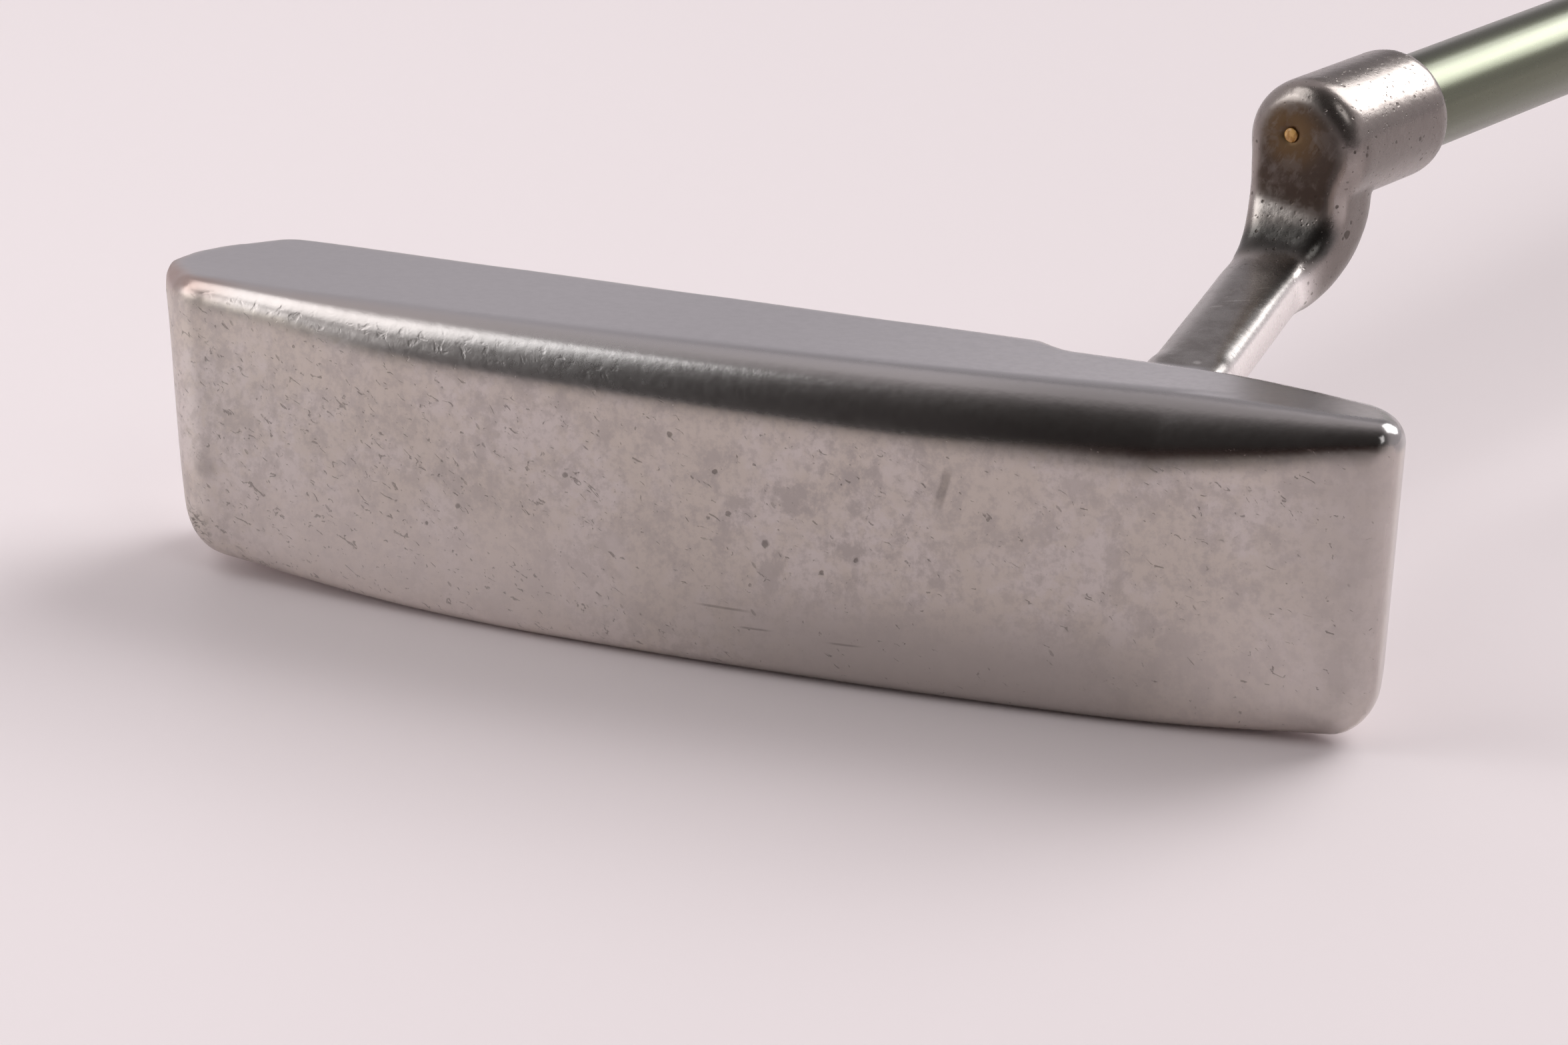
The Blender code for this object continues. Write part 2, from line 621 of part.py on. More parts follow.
def rolled_edge(place, radius, direction):
    """Rings that round an end of the grip, from the end itself to the full section."""
    rings = []
    for k in range(CORNER_STEPS + 1):
        angle = math.pi / 2 * k / CORNER_STEPS
        inset = radius * (1 - math.sin(angle))
        rings.append(grip_ring(place + direction * radius * (1 - math.cos(angle)), inset))
    return rings


def make_grip(shaft_line):
    """Rubber pistol grip, open at its mouth and bored for the taped shaft."""
    mouth = grip_mouth()
    joint = grip_end() - CAP_THICKNESS - FIT_GAP
    rings = rolled_edge(mouth, GRIP_LIP_RADIUS, 1)
    first = mouth + GRIP_LIP_RADIUS
    rings += [grip_ring(mix(first, joint, (k + 1) / GRIP_RINGS)) for k in range(GRIP_RINGS)]
    grip = make_object("grip", loft(rings), shaft_line)
    narrow, wide = SHAFT_BUTT_DIAMETER / 2 + FIT_GAP, grip_bore_radius()
    seal = mouth + GRIP_SEAL_LENGTH
    bore = [(0.0, mouth - OVERRUN), (narrow, mouth - OVERRUN), (narrow, seal), (wide, seal),
            (wide, joint + OVERRUN), (0.0, joint + OVERRUN)]
    use_tool(grip, "grip_bore_cutter", turned(bore), shaft_line, "DIFFERENCE")
    return grip


def make_grip_tape(shaft_line):
    """Two-sided tape wound on the shaft under the grip."""
    inner = SHAFT_BUTT_DIAMETER / 2 + FIT_GAP
    outer = inner + TAPE_THICKNESS
    low = grip_mouth() + GRIP_SEAL_LENGTH + FIT_GAP
    high = shaft_butt()
    sleeve = [(outer, low), (outer, high), (inner, high), (inner, low)]
    return make_object("grip_tape", turned(sleeve, tube=True), shaft_line)


def make_grip_cap(shaft_line):
    """Moulded end cap with a spigot in the grip's bore and the hole that lets air out."""
    low = grip_end() - CAP_THICKNESS
    rings = [grip_ring(low)] + rolled_edge(grip_end(), CAP_RADIUS, -1)[::-1]
    cap = make_object("grip_cap", loft(rings), shaft_line)
    spigot = turned(rod(grip_bore_radius() - FIT_GAP, low - CAP_SPIGOT_LENGTH, low + CAP_THICKNESS / 2))
    use_tool(cap, "cap_spigot_form", spigot, shaft_line, "UNION")
    hole = turned(rod(CAP_VENT_DIAMETER / 2, low - CAP_SPIGOT_LENGTH - OVERRUN, grip_end() + OVERRUN))
    use_tool(cap, "cap_vent_cutter", hole, shaft_line, "DIFFERENCE")
    return cap


def make_sight_line(club):
    """Paint in the groove on the flange."""
    return make_object("sight_line_fill", sight_line_bar(FIT_GAP, 0.0), club)


def weigh(pieces):
    """All corners of the pieces, in world space, and their common centre of mass."""
    bpy.context.view_layer.update()
    graph = bpy.context.evaluated_depsgraph_get()
    points = []
    moment = Vector()
    mass = 0.0
    for piece, density in pieces:
        shown = piece.evaluated_get(graph)
        mesh = shown.to_mesh()
        corners = [piece.matrix_world @ vert.co for vert in mesh.vertices]
        mesh.calc_loop_triangles()
        for triangle in mesh.loop_triangles:
            a, b, c = (corners[i] for i in triangle.vertices)
            part = density * a.dot(b.cross(c)) / 6
            moment += (a + b + c) / 4 * part
            mass += part
        points += corners
        shown.to_mesh_clear()
    return points, moment / mass


def resting_normal(points, centre):
    """Outward normal of the face of the club's hull that it lies on, back downwards."""
    hull = bmesh.new()
    for point in points:
        hull.verts.new(point)
    bmesh.ops.convex_hull(hull, input=hull.verts)
    hull.normal_update()
    below = []
    for face in hull.faces:
        foot = centre - face.normal * (centre - face.verts[0].co).dot(face.normal)
        sides = [(edge.vert.co, edge.link_loop_next.vert.co) for edge in face.loops]
        if all((b - a).cross(foot - a).dot(face.normal) >= 0.0 for a, b in sides):
            below.append(face.normal.copy())
    hull.free()
    return min(below, key=lambda normal: normal.z)


def lay_down(club, pieces):
    """Lay the club on its back, with its shaft along +Y and the origin under the middle of its box."""
    points, centre = weigh(pieces)
    tilt = resting_normal(points, centre).rotation_difference(Vector((0.0, 0.0, -1.0)))
    along = tilt @ shaft_along()
    yaw = Matrix.Rotation(math.atan2(along.x, along.y), 4, "Z")
    laid = yaw @ tilt.to_matrix().to_4x4()
    turned_points = [laid @ point for point in points]
    low = Vector([min(point[i] for point in turned_points) for i in range(3)])
    high = Vector([max(point[i] for point in turned_points) for i in range(3)])
    base = Vector(((low.x + high.x) / 2, (low.y + high.y) / 2, low.z))
    club.matrix_world = Matrix.Translation(-base) @ laid


def build():
    clear_scene()
    club = make_empty("club")
    shaft_line = make_empty("shaft_line", club)
    along = shaft_along()
    forward = Vector((0.0, 0.0, 1.0))
    axes = Matrix((forward.cross(along), forward, along)).transposed()
    shaft_line.matrix_local = Matrix.Translation(hosel_rim()) @ axes.to_4x4()
    finish = {
        "steel": make_material("satin_cast_steel", (0.42, 0.40, 0.38), 0.36, 1.0),
        "green": make_material("green_shaft_lacquer", (0.20, 0.28, 0.17), 0.30, 0.85),
        "amber": make_material("amber_resin", (0.75, 0.38, 0.06), 0.25, 0.0),
        "cork": make_material("cork", (0.45, 0.30, 0.17), 0.85, 0.0),
        "tape": make_material("tape_paper", (0.70, 0.62, 0.44), 0.80, 0.0),
        "rubber": make_material("black_rubber", (0.022, 0.022, 0.024), 0.70, 0.0),
        "paint": make_material("white_paint", (0.80, 0.79, 0.75), 0.45, 0.0),
    }
    pieces = [
        (make_head(club, shaft_line), "steel", STEEL_DENSITY),
        (make_glue(shaft_line), "amber", RESIN_DENSITY),
        (make_shaft(shaft_line), "green", STEEL_DENSITY),
        (make_tip_plug(shaft_line), "cork", RESIN_DENSITY),
        (make_grip_tape(shaft_line), "tape", PAPER_DENSITY),
        (make_grip(shaft_line), "rubber", RUBBER_DENSITY),
        (make_grip_cap(shaft_line), "rubber", RUBBER_DENSITY),
        (make_sight_line(club), "paint", RESIN_DENSITY),
    ]
    for piece, name, density in pieces:
        piece.data.materials.append(finish[name])
    lay_down(club, [(piece, density) for piece, name, density in pieces])


build()
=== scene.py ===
import math
import bmesh
import bpy
import numpy as np
from mathutils import Matrix, Vector


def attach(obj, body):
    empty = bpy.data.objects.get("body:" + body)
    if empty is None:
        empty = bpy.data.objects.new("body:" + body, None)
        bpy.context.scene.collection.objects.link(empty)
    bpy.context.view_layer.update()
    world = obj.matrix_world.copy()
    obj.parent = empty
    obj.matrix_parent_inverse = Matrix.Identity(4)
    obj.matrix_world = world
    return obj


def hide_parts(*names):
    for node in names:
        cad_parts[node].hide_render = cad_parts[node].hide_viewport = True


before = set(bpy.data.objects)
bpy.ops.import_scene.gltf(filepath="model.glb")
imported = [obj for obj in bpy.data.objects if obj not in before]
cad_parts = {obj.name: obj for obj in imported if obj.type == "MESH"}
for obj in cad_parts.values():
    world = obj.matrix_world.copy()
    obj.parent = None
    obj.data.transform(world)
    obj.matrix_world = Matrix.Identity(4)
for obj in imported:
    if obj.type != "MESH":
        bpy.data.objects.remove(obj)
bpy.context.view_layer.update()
scene = bpy.context.scene
scene.view_settings.view_transform = "Standard"
perMetre = 1000.0  # millimetres
weld = 0.000001  # metres between points that count as one
skinPush = (0.52, -0.50)  # towards the neighbours and back
photoWidth = 2352.0  # pixels
unmoved = (0.0, 0.0, 0.0)  # no shift, no turn

# the club's own axes as it lies: toe to heel, sole to grip, out of the face
club = {
    "origin": (0.005551, -0.440301, 0.029153),
    "toHeel": (0.948103, 0.317761, 0.011284),
    "toGrip": (-0.317231, 0.947734, -0.034138),
    "outward": (-0.021542, 0.028786, 0.999353),
    "loft": math.radians(4.75),
    "lie": math.radians(71.5),
    "hoselRim": (41.567, 66.85, 9.3),  # mm in the club's axes
    "hoselLength": 17.5,  # mm
}
clubTurn = Matrix((club["toHeel"], club["toGrip"], club["outward"])).transposed()
clubPlace = Matrix.Translation(club["origin"]) @ clubTurn.to_4x4()
shaftAlong = Vector((math.cos(club["lie"]), math.sin(club["lie"]), 0.0))
clubOutward = Vector((0.0, 0.0, 1.0))
clubUp = np.array((0.0, 1.0, 0.0))  # from sole to grip
shaftToToe = clubOutward.cross(shaftAlong)
faceNormal = Vector((0.0, math.sin(club["loft"]), math.cos(club["loft"])))


def toClub(points):
    # world metres to millimetres in the club's axes
    return (points - np.array(club["origin"])) @ np.array(clubTurn) * perMetre


def toWorld(points):
    return points / perMetre @ np.array(clubTurn).T + np.array(club["origin"])


def onShaft(place, toToe=0.0, outward=0.0):
    # world point beside the shaft's line, in millimetres from the hosel's rim
    here = Vector(club["hoselRim"]) + shaftAlong * place + shaftToToe * toToe + clubOutward * outward
    return clubPlace @ (here / perMetre)


class Wire:
    # a shader socket that takes part in sums
    def __init__(self, tree, socket=None):
        self.tree = tree
        self.socket = socket

    def node(self, kind, settings=None, sockets=None, out=0):
        made = self.tree.nodes.new(kind)
        for key, value in (settings or {}).items():
            if key == "stops":
                ramp = made.color_ramp
                while len(ramp.elements) < len(value):
                    ramp.elements.new(1.0)
                for element, (place, colour) in zip(ramp.elements, value):
                    element.position = place
                    element.color = (*colour, 1.0)
            else:
                setattr(made, key, value)
        for key, value in (sockets or {}).items():
            if isinstance(value, Wire):
                self.tree.links.new(value.socket, made.inputs[key])
            elif made.inputs[key].type == "RGBA":
                made.inputs[key].default_value = (*value[:3], 1.0)
            else:
                made.inputs[key].default_value = value
        return Wire(self.tree, made.outputs[out])

    def sum(self, operation, *values):
        return self.node("ShaderNodeMath", {"operation": operation}, dict(enumerate(values)))

    def __add__(self, other):
        return self.sum("ADD", self, other)

    def __sub__(self, other):
        return self.sum("SUBTRACT", self, other)

    def __rsub__(self, other):
        return self.sum("SUBTRACT", other, self)

    def __mul__(self, other):
        return self.sum("MULTIPLY", self, other)

    def __truediv__(self, other):
        return self.sum("DIVIDE", self, other)

    __radd__ = __add__
    __rmul__ = __mul__

    def top(self, other):
        return self.sum("MAXIMUM", self, other)

    def size(self):
        return self.sum("ABSOLUTE", self)

    def root(self):
        return self.sum("SQRT", self)

    def step(self, low, high, start=0.0, end=1.0):
        # smooth step from start at low to end at high
        return self.node("ShaderNodeMapRange", {"interpolation_type": "SMOOTHSTEP"},
                         {0: self, 1: low, 2: high, 3: start, 4: end})

    def blend(self, first, second):
        # colour mix by this wire
        return self.node("ShaderNodeMix", {"data_type": "RGBA"}, {0: self, 6: first, 7: second}, out=2)

    def fade(self, first, second):
        # number mix by this wire
        return self.node("ShaderNodeMix", {"data_type": "FLOAT"}, {0: self, 2: first, 3: second})

    def noise(self, scale, detail=3.0, rough=0.55, warp=0.0):
        return self.node("ShaderNodeTexNoise", {}, {"Vector": self, "Scale": scale, "Detail": detail,
                                                    "Roughness": rough, "Distortion": warp})

    def turned(self, angles, size, place=unmoved):
        return self.node("ShaderNodeMapping", {"vector_type": "TEXTURE"},
                         {"Vector": self, "Location": place, "Rotation": angles, "Scale": size})

    def axes(self):
        split = self.node("ShaderNodeSeparateXYZ", {}, {0: self}).socket.node
        return [Wire(self.tree, socket) for socket in split.outputs]

    def away(self, place):
        # distance from a place
        return self.node("ShaderNodeVectorMath", {"operation": "DISTANCE"}, {0: self, 1: place}, out=1)

    def specks(self, share, smallest, largest, warp):
        # scattered spots: a share of the cells holds one, each of its own size
        cells = self.node("ShaderNodeTexVoronoi", {"feature": "F1"}, {"Vector": self, "Scale": 1.0})
        luck = Wire(self.tree, cells.socket.node.outputs["Color"]).axes()
        reach = smallest + (largest - smallest) * luck[1] * luck[1]
        spot = ((cells + warp) / reach).step(0.55, 1.0, 1.0, 0.0)
        return spot * luck[0].sum("LESS_THAN", luck[0], share)


def finish(name):
    # new material, its start wire and its shader
    material = bpy.data.materials.new(name)
    material.use_nodes = True
    tree = material.node_tree
    return material, Wire(tree), tree.nodes["Principled BSDF"]


shaderSockets = {"colour": "Base Color", "roughness": "Roughness", "metallic": "Metallic", "normal": "Normal",
                 "coat": "Coat Weight", "gloss": "Coat Roughness"}


def connect(shader, **sockets):
    for key, value in sockets.items():
        target = shader.inputs[shaderSockets[key]]
        if isinstance(value, Wire):
            value.tree.links.new(value.socket, target)
        else:
            target.default_value = (*value, 1.0) if target.type == "RGBA" else value


def bumped(start, height):
    # height in millimetres
    return start.node("ShaderNodeBump", {}, {"Strength": 1.0, "Distance": 1.0 / perMetre, "Height": height})


def millimetres(start, place, turn):
    # the object's own coordinates in millimetres from a place, along turned axes
    size = 1.0 / perMetre
    return start.node("ShaderNodeTexCoord", out=3).turned(turn.to_euler(), (size, size, size), place)


def clubMillimetres(start):
    return millimetres(start, club["origin"], clubTurn)


def shaftMillimetres(start):
    # x to the toe, y out of the face, z along the shaft from the hosel's rim
    turn = clubTurn @ Matrix((shaftToToe, clubOutward, shaftAlong)).transposed()
    return millimetres(start, onShaft(0.0), turn)


def mark(start, name):
    return start.node("ShaderNodeAttribute", {"attribute_name": name}, out=2)


def pieceOf(name, mesh, material):
    piece = bpy.data.objects.new(name, mesh)
    scene.collection.objects.link(piece)
    mesh.materials.clear()
    mesh.materials.append(material)
    return piece


def meshOf(name, bm, sharp=40.0):
    bmesh.ops.remove_doubles(bm, verts=bm.verts, dist=weld)
    bmesh.ops.recalc_face_normals(bm, faces=bm.faces)
    mesh = bpy.data.meshes.new(name)
    bm.to_mesh(mesh)
    bm.free()
    mesh.shade_smooth()
    mesh.set_sharp_from_angle(angle=math.radians(sharp))
    return mesh


def looseCopy(node, name, material):
    bm = bmesh.new()
    bm.from_mesh(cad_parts[node].data)
    bmesh.ops.remove_doubles(bm, verts=bm.verts, dist=weld)
    mesh = bpy.data.meshes.new(name)
    bm.to_mesh(mesh)
    bm.free()
    return pieceOf(name, mesh, material)


def bakeDown(piece):
    # what the modifiers show becomes the plain mesh
    shown = piece.evaluated_get(bpy.context.evaluated_depsgraph_get())
    mesh = bpy.data.meshes.new_from_object(shown)
    piece.modifiers.clear()
    piece.data = mesh
    return mesh


def neighbourMean(values, links):
    a, b, valence = links
    return (np.bincount(a, values[b], len(values)) + np.bincount(b, values[a], len(values))) / valence


def smoothed(points, links, rounds, push, share=1.0):
    # shares of the way to the neighbours' mean, by turns
    for turn in range(rounds):
        mean = np.stack([neighbourMean(points[:, axis], links) for axis in range(3)], 1)
        points = points + push[turn % 2] * share * (mean - points)
    return points


def evenSkin(piece, grain, smoothing):
    # even fine mesh over a copy, its facets smoothed without shrinking
    remesh = piece.modifiers.new("evenSkin", "REMESH")
    remesh.mode = "VOXEL"
    remesh.voxel_size = grain
    material = piece.data.materials[0]
    mesh = bakeDown(piece)
    mesh.materials.clear()
    mesh.materials.append(material)
    count = len(mesh.vertices)
    points = np.empty(count * 3)
    mesh.vertices.foreach_get("co", points)
    points = points.reshape(-1, 3)
    ends = np.empty(len(mesh.edges) * 2, dtype=np.int64)
    mesh.edges.foreach_get("vertices", ends)
    a, b = ends[0::2], ends[1::2]
    links = (a, b, np.bincount(a, minlength=count) + np.bincount(b, minlength=count))
    points = smoothed(points, links, 2 * smoothing, skinPush)
    setPoints(mesh, points)
    mesh.shade_smooth()
    print(piece.name, "points", count)
    return points, links


def setPoints(mesh, points):
    mesh.vertices.foreach_set("co", points.ravel())
    mesh.update()


def setMark(mesh, name, values):
    layer = mesh.attributes.new(name, "FLOAT", "POINT")
    layer.data.foreach_set("value", np.clip(values, 0.0, 1.0).astype(np.float32))


def ramp(values, low, high):
    t = np.clip((values - low) / (high - low), 0.0, 1.0)
    return t * t * (3.0 - 2.0 * t)


def between(values, low, high):
    return (values > low) & (values < high)


def spread(values, links, rounds):
    for _ in range(rounds):
        values = 0.5 * values + 0.5 * neighbourMean(values, links)
    return values


headCasting = {
    "grain": 0.00042,  # metres between mesh points
    "smoothing": 14,
    "vent": (0.8, 1.15),  # mm off the shaft's line
    # leading edge by the heel, in mm
    "heelRound": 7.0,
    "heelRoundLoss": 4.5,  # smaller by this at the heel
    "heelRoundFrom": 36.0, "heelRoundRun": 21.5,
    "heelEdgeSpan": (-1.0, 6.0),  # depth from face and sole
    "heelEdgeFrom": (34.0, 37.0), "heelEdgeTo": (-54.0, -51.0),
    "heelMove": 2.2,  # points that would move further stay
    "heelRubs": 40, "heelPush": (0.52, -0.49),  # rounds, and shares by turns
    # leading edge at the toe, in mm
    "toeRise": 1.5, "toeRiseFrom": -34.0, "toeRiseRun": 20.0, "toeRisePower": 1.5,
    "toeRiseBack": (-20.0, -1.5), "toeRiseUp": (-14.0, -3.0),
    "neckRubs": 28, "neckPush": (0.5, 0.5),
    # the sole's third colour below serves stains and painted shade
    "sole": (0.68, 0.630, 0.603), "soleBeige": (0.645, 0.590, 0.535), "soleStainAndShade": (0.50, 0.460, 0.437),
    # the first colour below is painted light, for the sole's ends towards the trailing edge
    "soleLitEnds": (0.85, 0.785, 0.750), "edge": (0.51, 0.495, 0.490), "toeEdge": (0.54, 0.500, 0.485),
    # the dark red band's colour below is a painted dark reflection
    "heelEdge": (0.38, 0.368, 0.362), "redBand": (0.13, 0.062, 0.055), "face": (0.435, 0.430, 0.445),
    # the toe's face colour below is painted shade and also the speckles' colour; the heel's face colour is painted
    # light
    "toeFace": (0.385, 0.380, 0.393), "heelFace": (0.71, 0.700, 0.712), "post": (0.42, 0.400, 0.385),
    # the reddish colour below is a painted reflection at the toe
    "hosel": (0.33, 0.295, 0.275), "toeRedReflection": (0.42, 0.290, 0.250), "endStain": (0.090, 0.068, 0.056),
    # the flank's colour below is a painted reflection
    "ventStain": (0.165, 0.108, 0.060), "flank": (0.84, 0.795, 0.775), "upperFlank": (0.18, 0.160, 0.148),
    # painted highlight and painted dark reflection for the bend; the highlight colour also paints the hosel end's
    # rim
    "bendLight": (0.44, 0.402, 0.380), "bend": (0.115, 0.110, 0.104), "pit": (0.10, 0.085, 0.075),
    # pale colour of the post's scratches and of a painted highlight at its root
    "chalk": (0.80, 0.78, 0.75),
    "soleRoughness": 0.42, "faceRoughness": 0.30, "toeLeadRoughness": 0.30, "heelLeadRoughness": 0.19,
    "neckRoughness": 0.27, "endRoughness": 0.50, "fineRoughness": 0.10, "markRoughness": 0.2,
    # x, z and radius in mm
    "solePits": [(-6.55, -7.46, 0.34), (2.37, -16.38, 0.45), (-2.33, -10.34, 0.28), (10.67, -16.78, 0.30),
                 (7.53, -18.43, 0.28), (-30.5, -19.2, 0.25)],
    # both ends as x and z, and half the width
    "soleScratches": [((-4.62, -22.85), (1.64, -22.96), 0.13), ((-0.36, -24.5), (3.38, -24.48), 0.11),
                      ((7.81, -24.86), (11.72, -24.83), 0.11), ((18.9, -7.0), (17.7, -12.0), 0.55)],
    "solePale": ((-12.98, -16.77), (-9.96, -22.37), 0.9),
    # both ends as x and y, and half the width
    "postScratches": [((32.6, 32.8), (33.9, 33.5), 0.12), ((33.1, 34.3), (36.6, 36.1), 0.09),
                      ((35.3, 38.4), (36.9, 40.0), 0.10)],
    "castHoles": [((40.9, 50.8, 1.4), 0.55), ((33.1, 51.1, 2.8), 0.30)],
    # places in the club's axes
    "stainAt": (8.0, 0.0, -10.0),
    "scuffAt": (-55.3, 4.1, -23.9),
    "smudgeAt": (-53.6, 3.2, -17.5),
    "postHighlightAt": (35.3, 19.1, -1.9),
    "bendLightAt": (50.7, 4.0),  # y and z
    "bendAt": (48.5, 0.9),
    "wearAndShadeAt": 18.0,  # x
    # where each mark starts and is full: cosines, degrees of tilt, or mm in the club's axes
    "limits": {
        "face": (0.95, 0.995), "heelward": (10.0, 40.0), "toeward": (26.0, 52.0),
        # degrees in the middle, and how many fewer at heel and toe
        "soleStarts": (72.0, 15.0, 19.0), "soleFull": (84.0, 9.0, 5.0),
        "leadBack": (-8.0, -5.0), "leadUp": (-0.1, 0.2),
        "neckUp": (17.5, 18.5), "neckAcross": (27.0, 29.0), "flank": (0.74, 0.93),
        "redBandAcross": (20.0, 38.0), "redBandBack": (-12.0, -9.0), "redBandTurn": (-0.35, -0.2),
        "nickedFrom": (36.0, 48.0), "nickedTo": (-72.0, -62.0), "nickedAcross": (2.0, 16.0),
        "hoselEnd": (0.945, 0.972), "ventLip": (-1.4, -1.2), "endFrom": (-19.5, -18.5), "endTo": (15.0, 16.0),
        "sheltered": (0.004, 0.030),
    },
    # smooth steps: from, to, value before and value after
    "steps": {
        "toToe": (-55.0, 25.0, 1.0, 0.0), "stainSpread": (3.0, 16.0, 1.0, 0.62), "cloud": (0.42, 0.58),
        "patch": (0.48, 0.60), "stain": (0.48, 0.62), "speckle": (0.45, 0.66),
        "wornBack": (-25.0, -18.0, 0.9, 0.0), "wornMiddle": (8.0, 32.0, 1.0, 0.0), "wornHeel": (42.0, 57.0),
        "cleanFromToe": (-57.0, -44.0), "cleanToMiddle": (-24.0, 0.0, 0.6, 0.0), "cleanFromMiddle": (34.0, 44.0),
        "cleanToHeel": (48.0, 54.0, 0.4, 0.0), "cleanBack": (-25.0, -13.0, 1.0, 0.0),
        "toeEdge": (-45.0, -12.0, 1.0, 0.0), "heelEdge": (14.0, 30.0), "edge": (0.3, 0.8),
        "toeFace": (-57.0, -15.0), "heelFace": (-10.0, 50.0), "faceSpeckle": (0.3, 0.8),
        "redToe": (-57.0, -49.0, 0.75, 0.0), "redCloud": (0.3, 0.6),
        "hosel": (40.0, 52.0), "neckStain": (0.46, 0.66), "lowFlank": (45.0, 49.0, 1.0, 0.0),
        "highFlank": (46.0, 50.0, 0.0, 0.8), "bendLight": (0.5, 2.0, 0.85, 0.0), "bend": (0.7, 2.7, 1.0, 0.0),
        "curls": (0.665, 0.715), "hollowCurls": (0.30, 0.265), "dents": (0.52, 0.74), "scuffs": (0.48, 0.60),
        "scuffSpread": (0.5, 2.7, 0.7, 0.0), "smudge": (0.3, 1.9, 0.26, 0.0), "castUp": (42.0, 50.0, 0.12, 0.75),
        "ventRing": (1.2, 4.2, 1.0, 0.0), "ventCloud": (0.25, 0.6, 0.5, 1.0), "wiped": (0.54, 0.66),
        "endCloud": (0.40, 0.56, 0.80, 1.0), "endRim": (0.3, 0.6, 1.2, 2.8), "endRimUp": (54.0, 57.5),
        "chalk": (0.2, 0.55, 0.7, 0.0), "peelUp": (42.0, 50.0, 0.3, 1.0),
    },
    # angles, size and place of a noise's axes, then scale, detail, roughness and warp
    "noises": {
        "stain": ((0.3, 0.0, 0.2), (1.0, 1.0, 1.2), (11.0, 3.0, 7.0), (0.30, 7.0, 0.72, 0.12)),
        "patch": ((0.1, 0.4, 0.0), (1.0, 1.0, 1.0), (3.0, 9.0, 4.0), (0.45, 6.0, 0.70, 0.10)),
        "curls": ((0.0, 0.5, 0.0), (1.5, 1.0, 0.75), unmoved, (1.25, 3.0, 0.62, 1.1)),
        "dents": ((0.4, 0.9, 0.5), (1.7, 0.8, 0.8), (1.0, 2.0, 3.0), (0.8, 2.0, 0.5, 0.5)),
        "scuffs": ((0.0, 0.0, 0.7), (0.35, 1.4, 0.35), unmoved, (1.0, 5.0, 0.7)),
        "wiped": ((0.5, 0.2, 0.9), (0.3, 1.8, 1.8), unmoved, (1.0, 3.0, 0.6)),
        "brush": (unmoved, (40.0, 0.12, 0.12), unmoved, (1.0, 2.0, 0.5)),
    },
    # angles, size and place of the spots' axes, smallest and largest radius, and wobble
    "spots": {
        "dashes": ((0.0, 0.9, 0.0), (1.7, 1.0, 0.6), unmoved, 0.08, 0.26, 0.35),
        "pits": ((0.2, 0.1, 0.3), (2.4, 2.4, 2.4), (5.0, 1.0, 2.0), 0.03, 0.14, 0.12),
        "castPits": ((0.0, 0.4, 0.0), (0.8, 0.8, 0.8), unmoved, 0.06, 0.36, 0.3),
        "castGrit": ((0.3, 0.0, 0.5), (0.5, 0.4, 0.4), unmoved, 0.10, 0.42, 0.4),
    },
    # how strongly each mark shows
    "shares": {"patch": 0.7, "speckle": 0.5, "pale": 0.5, "wornHeel": 0.75, "redBand": 0.75, "faceSpeckle": 0.25,
               "neckStain": 0.5, "dashes": 0.7, "hollowCurls": 0.5, "castGrit": 0.55, "flecks": 0.38, "pits": 0.42,
               "placed": 0.5, "lines": 0.30, "holes": 0.9, "dents": 0.12, "wiped": 0.16, "corners": 0.35,
               "postLines": 0.6},
    # mm
    "heights": {"brush": 0.002, "leadPeel": 0.020, "neckPeel": 0.030, "marks": 0.05, "dents": 0.009, "sole": 0.006},
}


def clubNormals(mesh):
    normals = np.empty(len(mesh.vertices) * 3)
    mesh.vertex_normals.foreach_get("vector", normals)
    return normals.reshape(-1, 3) @ np.array(clubTurn)


def easeHeel(place, normals, links):
    # the leading edge gets a round that narrows towards the heel
    h = headCasting
    x, y, z = place.T
    flat = (normals[:, 1] < -0.985) & between(x, 15.0, 52.0) & between(z, -18.0, -9.0)
    terms = np.stack([np.ones(len(x)), x, x * x, z], 1)
    bottom = terms @ np.linalg.lstsq(terms[flat], y[flat], rcond=None)[0]
    front = place @ np.array(faceNormal)
    struck = (normals @ np.array(faceNormal) > 0.9995) & between(x, 0.0, 40.0) & (y < 16.0)
    inFace = front[struck].mean() - front
    inSole = y - bottom
    narrowing = np.clip((x - h["heelRoundFrom"]) / h["heelRoundRun"], 0.0, 1.0)
    reach = h["heelRound"] - h["heelRoundLoss"] * narrowing
    a, b = reach - inFace, reach - inSole
    length = np.maximum(np.hypot(a, b), 0.001)
    span, fadeIn = h["heelEdgeSpan"], h["heelEdgeFrom"]
    edge = between(inFace, *span) & between(inSole, *span) & (x > fadeIn[0])
    corner = (a > 0.0) & (b > 0.0)
    proud = edge & corner & (length > reach)
    deeper = np.where(corner, (1.0 - reach / length) * a, np.where(b <= 0.0, -inFace, 0.0))
    higher = np.where(corner, (1.0 - reach / length) * b, np.where(a <= 0.0, -inSole, 0.0))
    filled = np.where(proud, 1.0, ramp(-x, *h["heelEdgeTo"]))
    share = np.where(edge, ramp(x, *fadeIn) * filled, 0.0)
    share = share * (np.hypot(deeper, higher) < h["heelMove"])
    moved = place + (share * higher)[:, None] * clubUp - (share * deeper)[:, None] * np.array(faceNormal)
    soft = spread(((x > 38.0) & (y < 9.0) & (z > -10.0)).astype(float), links, 6)[:, None]
    return smoothed(moved, links, h["heelRubs"], h["heelPush"], soft)


